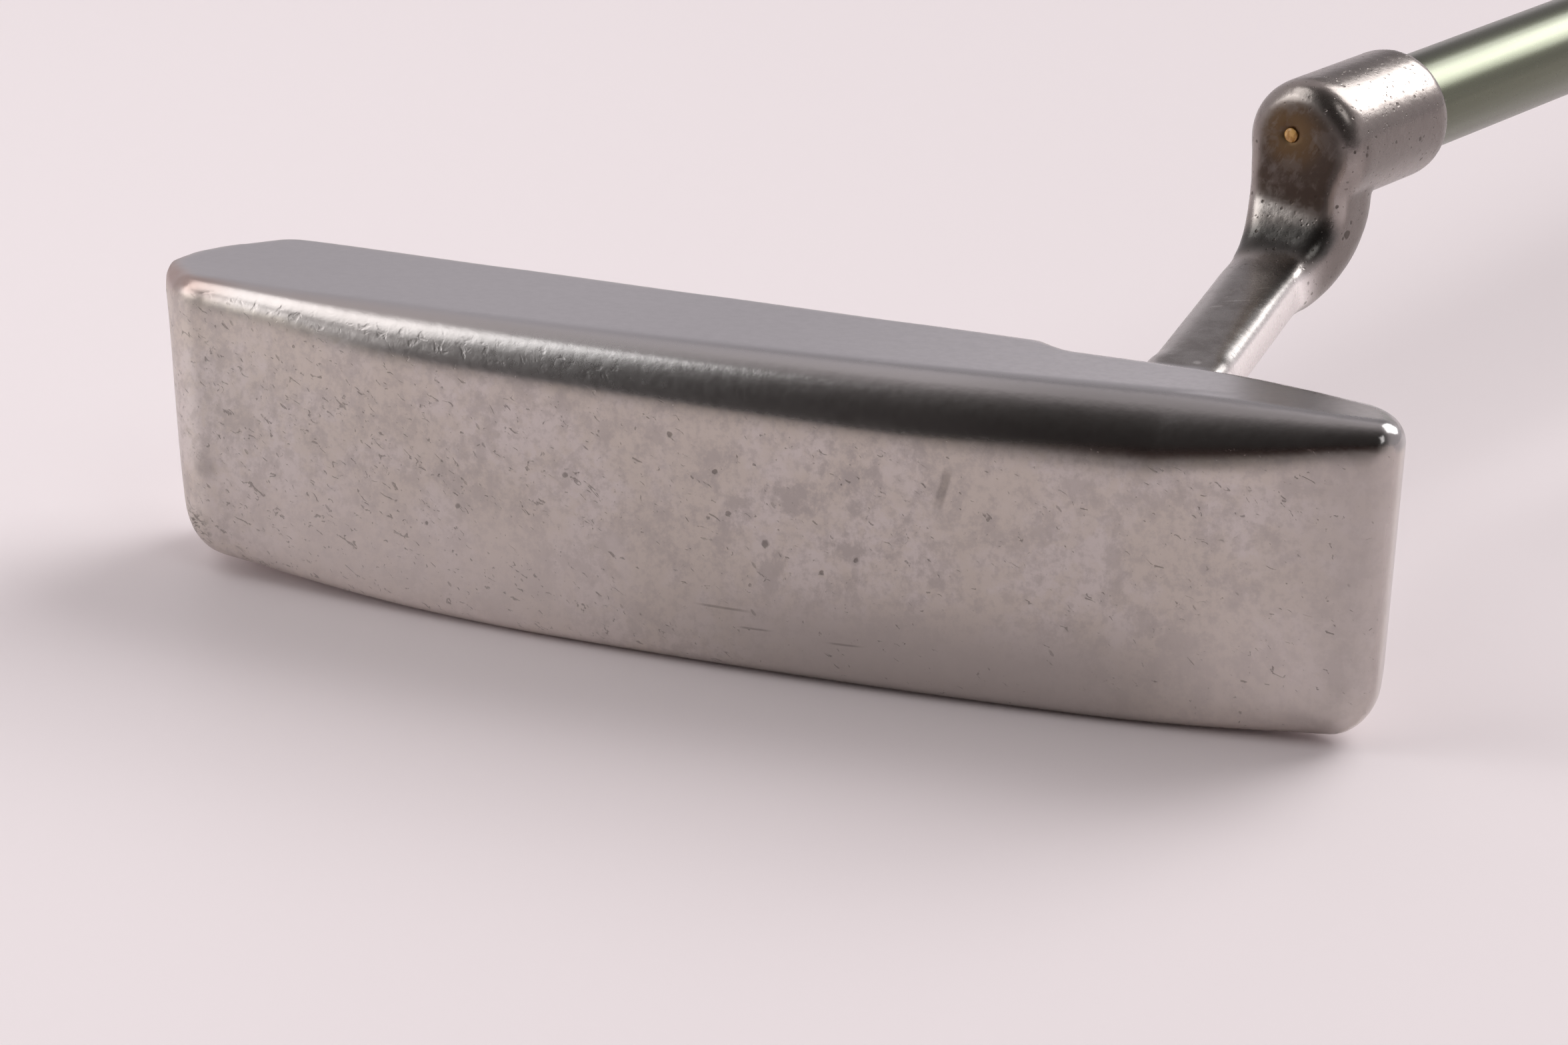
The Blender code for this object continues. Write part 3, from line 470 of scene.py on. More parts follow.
def rollToe(place):
    # the leading edge rises towards the toe
    h = headCasting
    x, y, z = place.T
    rise = h["toeRise"] * np.clip((h["toeRiseFrom"] - x) / h["toeRiseRun"], 0.0, 1.0) ** h["toeRisePower"]
    rise = rise * ramp(z, *h["toeRiseBack"]) * ramp(-y, *h["toeRiseUp"])
    return place + rise[:, None] * clubUp


def easeNeck(place, links):
    # hand-rubbed edges of the post and its bend
    x, y, _ = place.T
    soft = spread(((x > 27.0) & between(y, 21.0, 47.0)).astype(float), links, 8)[:, None]
    return smoothed(place, links, headCasting["neckRubs"], headCasting["neckPush"], soft)


def makeHead():
    limits = headCasting["limits"]
    piece = looseCopy("head", "headCasting", wornSteel())
    points, links = evenSkin(piece, headCasting["grain"], headCasting["smoothing"])
    mesh = piece.data
    place = rollToe(easeNeck(easeHeel(toClub(points), clubNormals(mesh), links), links))
    setPoints(mesh, toWorld(place))
    normals = clubNormals(mesh)
    x, y, z = place.T
    nx, ny, nz = normals.T
    tilt = np.degrees(np.arctan2(-ny, nz))  # from the face's side round to the sole's
    face = ramp(normals @ np.array(faceNormal), *limits["face"]) * (y < 28.0) * (z > -4.0)
    heelward = ramp(x, *limits["heelward"])
    toeward = ramp(-x, *limits["toeward"])
    starts, full = [middle - atHeel * heelward - atToe * toeward
                    for middle, atHeel, atToe in (limits["soleStarts"], limits["soleFull"])]
    sole = ramp(tilt, starts, full) * (ny < -0.5) * (y < 9.0)
    lead = (1.0 - face) * (1.0 - sole) * (y < 14.0) * ramp(z, *limits["leadBack"]) * ramp(nz, *limits["leadUp"])
    neck = ramp(y, *limits["neckUp"]) * ramp(x, *limits["neckAcross"])
    flank = neck * ramp(nx, *limits["flank"])
    # a dark red band painted where the sole turns into the edge by the heel: a painted dark reflection
    redBand = 4.0 * sole * (1.0 - sole) * ramp(x, *limits["redBandAcross"]) * ramp(z, *limits["redBandBack"])
    redBand = redBand * ramp(-abs(nx), *limits["redBandTurn"])
    nicked = lead * ramp(tilt, *limits["nickedFrom"]) * ramp(-tilt, *limits["nickedTo"])
    nicked = nicked * ramp(-x, *limits["nickedAcross"])
    fromRim = place - np.array(club["hoselRim"])
    along = fromRim @ np.array(shaftAlong)
    ventToToe, ventOutward = headCasting["vent"]
    toVent = np.hypot(fromRim @ np.array(shaftToToe) - ventToToe, fromRim[:, 2] - ventOutward)
    end = np.maximum(ramp(-normals @ np.array(shaftAlong), *limits["hoselEnd"]), ramp(-toVent, *limits["ventLip"]))
    end = end * ramp(along, *limits["endFrom"]) * ramp(-along, *limits["endTo"]) * neck
    curl = np.zeros(len(points))  # positive on edges, negative in corners
    for axis in range(3):
        curl += (place[:, axis] - neighbourMean(place[:, axis], links)) * normals[:, axis]
    # concave corners, where the neck is later painted darker
    sheltered = ramp(-spread(curl, links, 6), *limits["sheltered"])
    for name, values in (("face", spread(face, links, 8)), ("sole", sole), ("lead", spread(lead, links, 4)),
                         ("neck", neck), ("flank", flank), ("nicked", nicked), ("redBand", redBand),
                         ("hoselEnd", spread(end, links, 3)), ("sheltered", sheltered)):
        setMark(mesh, name, values)
    return piece


def scratch(across, up, start, end, width):
    # thin straight line between two places in a plane
    dx, dy = end[0] - start[0], end[1] - start[1]
    length = math.hypot(dx, dy)
    ux, uy = dx / length, dy / length
    along = (across - start[0]) * ux + (up - start[1]) * uy
    off = (across - start[0]) * -uy + (up - start[1]) * ux
    return off.size().step(width * 0.4, width, 1.0, 0.0) * along.step(0.0, length * 0.3) \
        * along.step(length * 0.6, length, 1.0, 0.0)


def flatAway(across, up, atAcross, atUp):
    # distance from a place in a plane
    dx, dy = across - atAcross, up - atUp
    return (dx * dx + dy * dy).root()


def anyOf(wires):
    most = wires[0]
    for wire in wires[1:]:
        most = most.top(wire)
    return most


def ventMouth():
    # the vent's mouth in the club's axes
    toToe, outward = headCasting["vent"]
    return Vector(club["hoselRim"]) - shaftAlong * club["hoselLength"] + shaftToToe * toToe + clubOutward * outward


def eased(wire, name):
    return wire.step(*headCasting["steps"][name])


def steelNoise(mm, name):
    angles, size, place, noise = headCasting["noises"][name]
    return mm.turned(angles, size, place).noise(*noise)


def steelSpecks(w, name, share):
    angles, size, place, smallest, largest, wobbly = headCasting["spots"][name]
    return w["mm"].turned(angles, size, place).specks(share, smallest, largest, w["wobble"] * wobbly)


def steelWires(start):
    # what the steel's layers share
    mm = clubMillimetres(start)
    x, y, z = mm.axes()
    wires = {name: mark(start, name) for name in ("face", "sole", "lead", "neck", "flank", "nicked", "redBand",
                                                  "hoselEnd", "sheltered")}
    wires.update(mm=mm, x=x, y=y, z=z, wobble=mm.noise(2.2, 2.0, 0.5) - 0.5, fine=mm.noise(1.1, 4.0, 0.65),
                 cloud=mm.noise(0.085, 6.0, 0.66, 0.15), stain=steelNoise(mm, "stain"))
    return wires


def soleColour(w):
    # clouds and dried stains, darker towards the trailing edge in the middle and at the heel end, and painted light
    # on both ends
    h, share, mm, x, z = headCasting, headCasting["shares"], w["mm"], w["x"], w["z"]
    colour = eased(w["cloud"], "cloud").blend(h["sole"], h["soleBeige"])
    colour = (eased(steelNoise(mm, "patch"), "patch") * share["patch"]).blend(colour, h["soleBeige"])
    stained = eased(w["stain"], "stain") * eased(mm.away(h["stainAt"]), "stainSpread")
    colour = stained.blend(colour, h["soleStainAndShade"])
    colour = (eased(w["fine"], "speckle") * share["speckle"]).blend(colour, h["soleStainAndShade"])
    pale = scratch(x, z, *h["solePale"]) * w["sole"] * share["pale"]
    colour = pale.blend(colour, h["sole"])
    # darker towards the trailing edge in the middle and at the heel end: a worn stain and painted shade
    wearAndShade = eased(z, "wornBack") * eased((x - h["wearAndShadeAt"]).size(), "wornMiddle")
    colour = (wearAndShade + eased(x, "wornHeel") * share["wornHeel"]).blend(colour, h["soleStainAndShade"])
    # painted light: the sole is lighter towards the trailing edge near the toe and near the heel
    litEnds = eased(x, "cleanFromToe") * eased(x, "cleanToMiddle")
    litEnds = litEnds + eased(x, "cleanFromMiddle") * eased(x, "cleanToHeel")
    return (litEnds * eased(z, "cleanBack")).blend(colour, h["soleLitEnds"])


def faceAndEdgeColour(w, colour):
    h, share, x = headCasting, headCasting["shares"], w["x"]
    edge = eased(x, "toeEdge").blend(h["edge"], h["toeEdge"])
    edge = eased(x, "heelEdge").blend(edge, h["heelEdge"])
    colour = (eased(w["face"] + w["lead"], "edge") * (1.0 - w["sole"])).blend(colour, edge)
    # painted dark reflection along the turn into the sole by the heel
    colour = (w["redBand"] * share["redBand"]).blend(colour, h["redBand"])
    # the face is painted darker towards the toe and lighter towards the heel, as painted shade and painted light;
    # speckles take the darker colour
    face = eased(x, "heelFace").blend(eased(x, "toeFace").blend(h["toeFace"], h["face"]), h["heelFace"])
    face = (eased(w["fine"], "faceSpeckle") * share["faceSpeckle"]).blend(face, h["toeFace"])
    colour = w["face"].blend(colour, face)
    # painted reddish reflection on the edge at the toe, in clouds
    redToe = eased(x, "redToe") * w["lead"]
    return (redToe * eased(w["cloud"], "redCloud")).blend(colour, h["toeRedReflection"])


def neckColour(w):
    h, y, z, flank = headCasting, w["y"], w["z"], w["flank"]
    colour = eased(y, "hosel").blend(h["post"], h["hosel"])
    stained = eased(w["stain"], "neckStain") * h["shares"]["neckStain"]
    colour = stained.blend(colour, tuple(0.72 * c for c in h["hosel"]))
    # the neck's side is painted lighter nearer the blade, as a painted reflection of the lit floor, and darker
    # nearer the hosel
    colour = (flank * eased(y, "lowFlank")).blend(colour, h["flank"])
    colour = (flank * eased(y, "highFlank")).blend(colour, h["upperFlank"])
    # a painted highlight and a painted dark reflection on the front of the bend
    front = 1.0 - flank
    for name in ("bendLight", "bend"):
        bent = eased(flatAway(y, z, *h[name + "At"]), name) * front
        colour = bent.blend(colour, h[name])
    return colour


def darkMarks(w, dents):
    # flecks, pits, scratches and the casting's holes
    h, share, mm = headCasting, headCasting["shares"], w["mm"]
    x, y, z, wobble = w["x"], w["y"], w["z"], w["wobble"]
    toToe = eased(x, "toToe")
    dashes = steelSpecks(w, "dashes", toToe * 0.22 + 0.03)
    curls = steelNoise(mm, "curls") + toToe * 0.045
    flecks = anyOf([dashes * share["dashes"], eased(curls, "curls"),
                    eased(curls, "hollowCurls") * share["hollowCurls"]])
    pits = steelSpecks(w, "pits", 0.16)
    castPits = steelSpecks(w, "castPits", 0.40).top(steelSpecks(w, "castGrit", 0.45) * share["castGrit"])
    placed = anyOf([(flatAway(x, z, px, pz) + wobble * 0.5).step(radius * 0.5, radius, 1.0, 0.0)
                    for px, pz, radius in h["solePits"]])
    lines = anyOf([scratch(x, z, *line) for line in h["soleScratches"]])
    holes = anyOf([(mm.away(place) + wobble * 0.3).step(radius * 0.6, radius, 1.0, 0.0)
                   for place, radius in h["castHoles"]])
    scuffs = eased(steelNoise(mm, "scuffs"), "scuffs") * eased(mm.away(h["scuffAt"]), "scuffSpread")
    smudge = eased(mm.away(h["smudgeAt"]) + wobble, "smudge")
    onSole = anyOf([flecks * share["flecks"], pits * share["pits"], placed * share["placed"],
                    lines * share["lines"], smudge]) * w["sole"]
    castPits = castPits * eased(y, "castUp") * (1.0 - w["hoselEnd"] * 0.6)
    onNeck = anyOf([castPits, holes * share["holes"]]) * w["neck"]
    return anyOf([onSole, onNeck, dents * share["dents"], scuffs])


def hoselEndColour(w, colour):
    # glue stain round the vent, wiped scratches and a painted highlight on the rim
    h, mm, end = headCasting, w["mm"], w["hoselEnd"]
    cloud = mm.noise(0.45, 5.0, 0.6, 0.4)
    ring = eased(mm.away(ventMouth()), "ventRing")
    stained = (ring * eased(cloud, "ventCloud")).blend(h["endStain"], h["ventStain"])
    wiped = eased(steelNoise(mm, "wiped"), "wiped") * h["shares"]["wiped"]
    stained = wiped.blend(stained, h["hosel"])
    colour = (end * eased(cloud, "endCloud")).blend(colour, stained)
    rimHighlight = end * (1.0 - end) * eased(w["fine"], "endRim") * eased(w["y"], "endRimUp")
    return rimHighlight.blend(colour, h["bendLight"])


def postScratchesAndHighlight(w):
    # pale scratches on the post, and a painted highlight at the post's root
    h = headCasting
    lines = anyOf([scratch(w["x"], w["y"], *line) for line in h["postScratches"]])
    spot = eased(w["mm"].away(h["postHighlightAt"]) + w["wobble"] * 0.5, "chalk")
    return anyOf([lines * h["shares"]["postLines"], spot]) * w["neck"]


def steelRoughness(w, dark):
    h = headCasting
    roughness = w["x"].step(-40.0, 38.0, h["toeLeadRoughness"], h["heelLeadRoughness"])
    for name in ("sole", "face", "neck"):
        roughness = w[name].fade(roughness, h[name + "Roughness"])
    roughness = w["hoselEnd"].fade(roughness, h["endRoughness"])
    return roughness + (w["fine"] - 0.5) * h["fineRoughness"] + dark * h["markRoughness"]


def steelHeight(w, dark, dents):
    # brushed face, cast skin on edge and neck, sunk marks
    tall, mm = headCasting["heights"], w["mm"]
    brush = steelNoise(mm, "brush") - 0.5
    peel = mm.noise(1.1, 3.0, 0.5) - 0.5
    skin = w["lead"] * tall["leadPeel"] + w["neck"] * tall["neckPeel"] * eased(w["y"], "peelUp")
    height = brush * w["face"] * tall["brush"] + peel * skin
    return height - dark * tall["marks"] - dents * tall["dents"] + (w["fine"] - 0.5) * w["sole"] * tall["sole"]


def wornSteel():
    h = headCasting
    material, start, shader = finish("wornSteel")
    w = steelWires(start)
    dents = eased(steelNoise(w["mm"], "dents"), "dents") * w["nicked"]
    dark = darkMarks(w, dents)
    colour = faceAndEdgeColour(w, soleColour(w))
    colour = w["neck"].blend(colour, neckColour(w))
    colour = dark.blend(colour, h["pit"])
    colour = hoselEndColour(w, colour)
    # darker in the neck's concave corners
    colour = (w["sheltered"] * w["neck"] * h["shares"]["corners"]).blend(colour, h["pit"])
    # pale post scratches and a painted highlight
    colour = postScratchesAndHighlight(w).blend(colour, h["chalk"])
    connect(shader, colour=colour, roughness=steelRoughness(w, dark), metallic=1.0,
            normal=bumped(start, steelHeight(w, dark, dents)))
    return material


# radii, and places along the shaft from the hosel's rim, in mm
shaftTube = {"sides": 96, "tip": 4.7, "butt": 7.35, "wall": 0.7, "start": -13.1, "taperStart": 216.9,
             "taperEnd": 516.9, "end": 808.2, "lacquer": (0.140, 0.150, 0.105), "shade": (0.116, 0.125, 0.085),
             "dust": (0.42, 0.41, 0.38), "dustShare": 0.35, "roughness": 0.28, "coat": 0.18, "gloss": 0.14,
             "grit": 0.0008}


def turnInto(bm, profile, sides, toToe=0.0, outward=0.0):
    # skin turned about a line beside the shaft's from (radius, place) in millimetres
    rings = []
    for k in range(sides):
        angle = math.tau * k / sides
        rings.append([bm.verts.new(onShaft(place, toToe + radius * math.cos(angle),
                                           outward + radius * math.sin(angle))) for radius, place in profile])
    for here, there in zip(rings, rings[1:] + rings[:1]):
        for i in range(len(profile)):
            j = (i + 1) % len(profile)
            bm.faces.new((here[i], here[j], there[j], there[i]))


def makeShaft():
    s = shaftTube
    outside = [(s["tip"], s["start"]), (s["tip"], s["taperStart"]), (s["butt"], s["taperEnd"]),
               (s["butt"], s["end"])]
    inside = [(radius - s["wall"], place) for radius, place in reversed(outside)]
    bm = bmesh.new()
    turnInto(bm, outside + inside, s["sides"])
    return pieceOf("shaftTube", meshOf("shaftTube", bm), greenLacquer())


def greenLacquer():
    s = shaftTube
    material, start, shader = finish("greenLacquer")
    mm = shaftMillimetres(start)
    drift = mm.turned(unmoved, (1.0, 1.0, 30.0)).noise(0.5, 3.0, 0.5)
    grit = mm.noise(4.0, 2.0, 0.5)
    dust = mm.turned(unmoved, (0.9, 0.9, 1.3)).specks(0.12, 0.04, 0.16, (grit - 0.5) * 0.1)
    colour = drift.step(0.35, 0.65).blend(s["lacquer"], s["shade"])
    colour = (dust * s["dustShare"]).blend(colour, s["dust"])
    roughness = s["roughness"] + (grit - 0.5) * 0.04 + dust * 0.15
    connect(shader, colour=colour, roughness=roughness, metallic=1.0, normal=bumped(start, grit * s["grit"]),
            coat=s["coat"], gloss=s["gloss"])
    return material


resinGlue = {"sides": 64, "dropSides": 28, "amber": (0.80, 0.47, 0.15), "dark": (0.50, 0.24, 0.05),
             "bubble": (0.75, 0.52, 0.20), "bubbleShare": 0.6, "roughness": 0.22, "swirl": 0.03, "coat": 0.4,
             # radius and place of the cup under and round the shaft's tip
             "cup": [(0.0, -15.05), (4.95, -15.05), (4.97, -0.45), (4.86, -0.30), (4.74, -0.40), (4.73, -13.2),
                     (0.0, -13.2)],
             # radius and place of the drop in the vent
             "drop": [(0.0, -14.9), (0.58, -14.9), (0.58, -17.25), (0.68, -17.45),
                      (0.66, -17.55), (0.47, -17.63), (0.24, -17.67), (0.0, -17.68)]}


def makeGlue():
    bm = bmesh.new()
    turnInto(bm, resinGlue["cup"], resinGlue["sides"])
    turnInto(bm, resinGlue["drop"], resinGlue["dropSides"], *headCasting["vent"])
    return pieceOf("resinGlue", meshOf("resinGlue", bm, 60.0), amberResin())


def amberResin():
    r = resinGlue
    material, start, shader = finish("amberResin")
    mm = clubMillimetres(start)
    swirl = mm.noise(1.6, 4.0, 0.6, 0.6)
    colour = swirl.step(0.38, 0.66).blend(r["amber"], r["dark"])
    bubbles = mm.specks(0.3, 0.05, 0.2, 0.0)
    colour = (bubbles * r["bubbleShare"]).blend(colour, r["bubble"])
    connect(shader, colour=colour, roughness=r["roughness"] + swirl * 0.15,
            normal=bumped(start, swirl * r["swirl"]), coat=r["coat"])
    return material


# mm, but the grain in metres and pipHeight a share of the radius; places along the grip count from its mouth
gripRubber = {"grain": 0.0008, "smoothing": 5, "mouth": 551.5, "length": 267.0, "seal": 5.2, "sealRadius": 7.38,
              "sealReach": 8.1, "frontAtMouth": 9.7, "frontAtButt": 11.6, "rows": 88, "columns": 5, "rowStep": 2.4,
              "columnStep": 2.1, "pipRadius": 0.55, "pipHeight": 0.5, "pipsFrom": 26.0, "ribStep": 3.0,
              "ribsFrom": (22.0, 30.0), "ribsTo": (236.0, 244.0), "rings": (9.0, 13.0, 253.0),
              "wornFrom": (60.0, 200.0), "black": (0.026, 0.026, 0.027), "wearAndShade": (0.060, 0.058, 0.056),
              "dust": (0.115, 0.108, 0.100), "roughness": 0.62, "wornGloss": 0.12, "grooveDepth": 0.30}


def makeGrip():
    g = gripRubber
    piece = looseCopy("grip", "gripRubber", mouldedRubber())
    points, _ = evenSkin(piece, g["grain"], g["smoothing"])
    fromRim = toClub(points) - np.array(club["hoselRim"])
    along = fromRim @ np.array(shaftAlong)
    across = fromRim - along[:, None] * np.array(shaftAlong)
    radius = np.linalg.norm(across, axis=1)
    hugging = (along < g["mouth"] + g["seal"]) & (radius < g["sealReach"])  # the mouth closes on the shaft
    across[hugging] *= (g["sealRadius"] / radius[hugging])[:, None]
    place = across + along[:, None] * np.array(shaftAlong) + np.array(club["hoselRim"])
    setPoints(piece.data, toWorld(place))
    return piece


def pipTree():
    # staggered rows of flat domes on a plane, in metres
    tree = bpy.data.node_groups.new("gripPips", "GeometryNodeTree")
    tree.interface.new_socket("Geometry", in_out="OUTPUT", socket_type="NodeSocketGeometry")
    for name, kind in (("Rows", "Int"), ("Columns", "Int"), ("Row step", "Float"), ("Column step", "Float"),
                       ("Pip radius", "Float"), ("Pip height", "Float"), ("Rubber", "Material")):
        tree.interface.new_socket(name, in_out="INPUT", socket_type="NodeSocket" + kind)
    given = tree.nodes.new("NodeGroupInput")

    def add(kind, settings=None, **sockets):
        made = tree.nodes.new(kind)
        for key, value in (settings or {}).items():
            setattr(made, key, value)
        for key, value in sockets.items():
            socket = made.inputs[int(key[1:])] if key[1:].isdigit() else made.inputs[key.replace("_", " ")]
            if isinstance(value, bpy.types.NodeSocket):
                tree.links.new(value, socket)
            else:
                socket.default_value = value
        return made.outputs[0]

    def maths(operation, first, second):
        return add("ShaderNodeMath", {"operation": operation}, i0=first, i1=second)

    size = given.outputs
    grid = add("GeometryNodeMeshGrid", Vertices_X=size["Rows"], Vertices_Y=size["Columns"],
               Size_X=maths("MULTIPLY", maths("SUBTRACT", size["Rows"], 1.0), size["Row step"]),
               Size_Y=maths("MULTIPLY", maths("SUBTRACT", size["Columns"], 1.0), size["Column step"]))
    row = maths("FLOOR", maths("DIVIDE", add("GeometryNodeInputIndex"), size["Columns"]), 0.0)
    side = maths("SUBTRACT", maths("MODULO", row, 2.0), 0.5)
    shift = maths("MULTIPLY", side, maths("MULTIPLY", size["Column step"], 0.5))
    placed = add("GeometryNodeSetPosition", Geometry=grid, Offset=add("ShaderNodeCombineXYZ", Y=shift))
    dome = add("GeometryNodeMeshUVSphere", Segments=10, Rings=6, Radius=size["Pip radius"])
    dots = add("GeometryNodeInstanceOnPoints", Points=placed, Instance=dome,
               Scale=add("ShaderNodeCombineXYZ", X=1.0, Y=1.0, Z=size["Pip height"]))
    real = add("GeometryNodeRealizeInstances", Geometry=dots)
    rubber = add("GeometryNodeSetMaterial", Geometry=real, Material=size["Rubber"])
    tree.links.new(rubber, tree.nodes.new("NodeGroupOutput").inputs[0])
    return tree


def makePips(rubber):
    g = gripRubber
    piece = pieceOf("gripPips", bpy.data.meshes.new("gripPips"), rubber)
    modifier = piece.modifiers.new("pips", "NODES")
    modifier.node_group = pipTree()
    values = {"Rows": g["rows"], "Columns": g["columns"], "Row step": g["rowStep"] / perMetre,
              "Column step": g["columnStep"] / perMetre, "Pip radius": g["pipRadius"] / perMetre,
              "Pip height": g["pipHeight"], "Rubber": rubber}
    for item in modifier.node_group.interface.items_tree:
        if item.in_out == "INPUT":
            modifier[item.identifier] = values[item.name]
    mesh = bakeDown(piece)
    slope = (g["frontAtButt"] - g["frontAtMouth"]) / g["length"]
    along = (shaftAlong + shaftToToe * slope).normalized()
    out = (shaftToToe - shaftAlong * slope).normalized()
    middle = g["pipsFrom"] + (g["rows"] - 1) * g["rowStep"] / 2
    turn = clubTurn @ Matrix((along, out.cross(along), out)).transposed()
    onFront = onShaft(g["mouth"] + middle, g["frontAtMouth"] + slope * middle)
    mesh.transform(Matrix.Translation(onFront) @ turn.to_4x4())
    mesh.shade_smooth()
    print("gripPips", len(mesh.polygons), "faces")
    return piece


def mouldedRubber():
    g = gripRubber
    mouth = g["mouth"]
    material, start, shader = finish("mouldedRubber")
    mm = shaftMillimetres(start)
    toToe, _, along = mm.axes()
    grain = mm.noise(3.0, 3.0, 0.6)
    cloud = mm.noise(0.05, 5.0, 0.6, 0.2)
    wearAndShade = cloud.step(0.42, 0.68) * along.step(*[mouth + at for at in g["wornFrom"]], 0.35, 1.0)
    colour = wearAndShade.blend(g["black"], g["wearAndShade"])
    # ribs round the back, and rings by both ends
    rib = along.sum("PINGPONG", along, g["ribStep"]).step(0.5, 1.3, 0.0, 1.0)
    ribbed = toToe.step(1.0, 4.0, 1.0, 0.0) * along.step(*[mouth + at for at in g["ribsFrom"]])
    ribbed = ribbed * along.step(*[mouth + at for at in g["ribsTo"]], 1.0, 0.0)
    rings = anyOf([(along - mouth - at).size().step(0.4, 0.9, 1.0, 0.0) for at in g["rings"]])
    groove = ((1.0 - rib) * ribbed).top(rings)
    colour = (groove * grain.step(0.3, 0.7, 0.4, 0.8)).blend(colour, g["dust"])
    height = grain * 0.02 - groove * g["grooveDepth"] + cloud * 0.05
    roughness = g["roughness"] + (grain - 0.5) * 0.2 - wearAndShade * g["wornGloss"]
    connect(shader, colour=colour, roughness=roughness, normal=bumped(start, height))
    return material


gripCap = {"grain": 0.0004, "smoothing": 6, "black": (0.032, 0.032, 0.034), "scuffed": (0.105, 0.102, 0.098),
           "ringStep": 2.2, "ringMiddle": (-2.0, 0.0), "ringHeight": 0.12, "roughness": 0.58}


def makeCap():
    piece = looseCopy("grip_cap", "gripCap", capRubber())
    evenSkin(piece, gripCap["grain"], gripCap["smoothing"])
    return piece


def capRubber():
    c = gripCap
    material, start, shader = finish("capRubber")
    mm = shaftMillimetres(start)
    toToe, outward, _ = mm.axes()
    radius = flatAway(toToe, outward, *c["ringMiddle"])
    ring = radius.sum("PINGPONG", radius, c["ringStep"] / 2).step(0.25, 0.6)
    grain = mm.noise(2.6, 3.0, 0.6)
    scuffs = mm.turned((0.3, 0.2, 0.6), (3.0, 0.3, 1.0)).noise(1.0, 4.0, 0.6).step(0.55, 0.72)
    colour = (scuffs * 0.6).blend(c["black"], c["scuffed"])
    colour = ((1.0 - ring) * 0.3).blend(colour, c["scuffed"])
    connect(shader, colour=colour, roughness=c["roughness"] + (grain - 0.5) * 0.25,
            normal=bumped(start, ring * c["ringHeight"] + grain * 0.03))
    return material


# mm: how far the paint reaches past the CAD fill, and how it lies in the groove
sightLine = {"gap": 0.26, "sunk": 0.10, "sag": 0.10, "steps": (8, 70), "longRipple": 0.012, "shortRipple": 0.008,
             "white": (0.80, 0.79, 0.75), "grey": (0.42, 0.40, 0.37), "bare": (0.16, 0.145, 0.13), "roughness": 0.5}


def makeSightLine():
    s = sightLine
    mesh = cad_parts["sight_line_fill"].data
    points = np.empty(len(mesh.vertices) * 3)
    mesh.vertices.foreach_get("co", points)
    points = toClub(points.reshape(-1, 3))
    low, high = points.min(0), points.max(0)
    wide, deep = s["steps"]
    bm = bmesh.new()
    bmesh.ops.create_grid(bm, x_segments=wide, y_segments=deep, size=1.0)
    faces = bmesh.ops.extrude_face_region(bm, geom=bm.faces[:])
    under = {v for v in faces["geom"] if isinstance(v, bmesh.types.BMVert)}
    for vert in bm.verts:
        u, v = vert.co.x, vert.co.y
        edge = max(abs(u), abs(v)) ** 6
        across = (low[0] + high[0]) / 2 + u * ((high[0] - low[0]) / 2 + s["gap"])
        back = (low[2] + high[2]) / 2 + v * ((high[2] - low[2]) / 2 + s["gap"])
        ripple = s["longRipple"] * math.sin(9.0 * v) + s["shortRipple"] * math.sin(23.0 * v + 5.0 * u)
        height = low[1] if vert in under else high[1] - s["sunk"] - s["sag"] * (1.0 - edge) + ripple
        vert.co = clubPlace @ (Vector((across, height, back)) / perMetre)
    return pieceOf("sightLine", meshOf("sightLine", bm, 50.0), linePaint())


def linePaint():
    s = sightLine
    material, start, shader = finish("linePaint")
    mm = clubMillimetres(start)
    grime = mm.noise(0.9, 5.0, 0.65)
    chips = mm.turned((0.0, 0.3, 0.0), (1.2, 1.2, 1.2)).specks(0.35, 0.05, 0.4, (grime - 0.5) * 0.5)
    colour = grime.step(0.45, 0.72).blend(s["white"], s["grey"])
    colour = (chips * 0.8).blend(colour, s["bare"])
    connect(shader, colour=colour, roughness=s["roughness"] + grime * 0.2,
            normal=bumped(start, grime * 0.03 - chips * 0.06))
    return material


hiddenParts = {"cork": (0.47, 0.315, 0.175), "corkDark": (0.22, 0.125, 0.060), "tape": (0.70, 0.62, 0.44),
               "tapeShade": (0.52, 0.44, 0.29), "corkRoughness": 0.8, "tapeRoughness": 0.75}


def corkStopper():
    material, start, shader = finish("corkStopper")
    mm = shaftMillimetres(start)
    cells = mm.noise(1.4, 5.0, 0.65, 0.3)
    pores = mm.specks(0.5, 0.08, 0.34, (cells - 0.5) * 0.5)
    colour = cells.step(0.35, 0.7).blend(hiddenParts["cork"], tuple(0.72 * c for c in hiddenParts["cork"]))
    colour = pores.blend(colour, hiddenParts["corkDark"])
    connect(shader, colour=colour, roughness=hiddenParts["corkRoughness"] + (cells - 0.5) * 0.2,
            normal=bumped(start, cells * 0.06 - pores * 0.12))
    return material


def creasedTape():
    material, start, shader = finish("creasedTape")
    mm = shaftMillimetres(start)
    crepe = mm.turned(unmoved, (3.0, 3.0, 0.35)).noise(1.0, 4.0, 0.6)
    fibre = mm.noise(2.0, 4.0, 0.6)
    colour = crepe.step(0.35, 0.7).blend(hiddenParts["tape"], hiddenParts["tapeShade"])
    colour = (fibre.step(0.5, 0.8) * 0.35).blend(colour, hiddenParts["tapeShade"])
    connect(shader, colour=colour, roughness=hiddenParts["tapeRoughness"] + (fibre - 0.5) * 0.2,
            normal=bumped(start, crepe * 0.05))
    return material


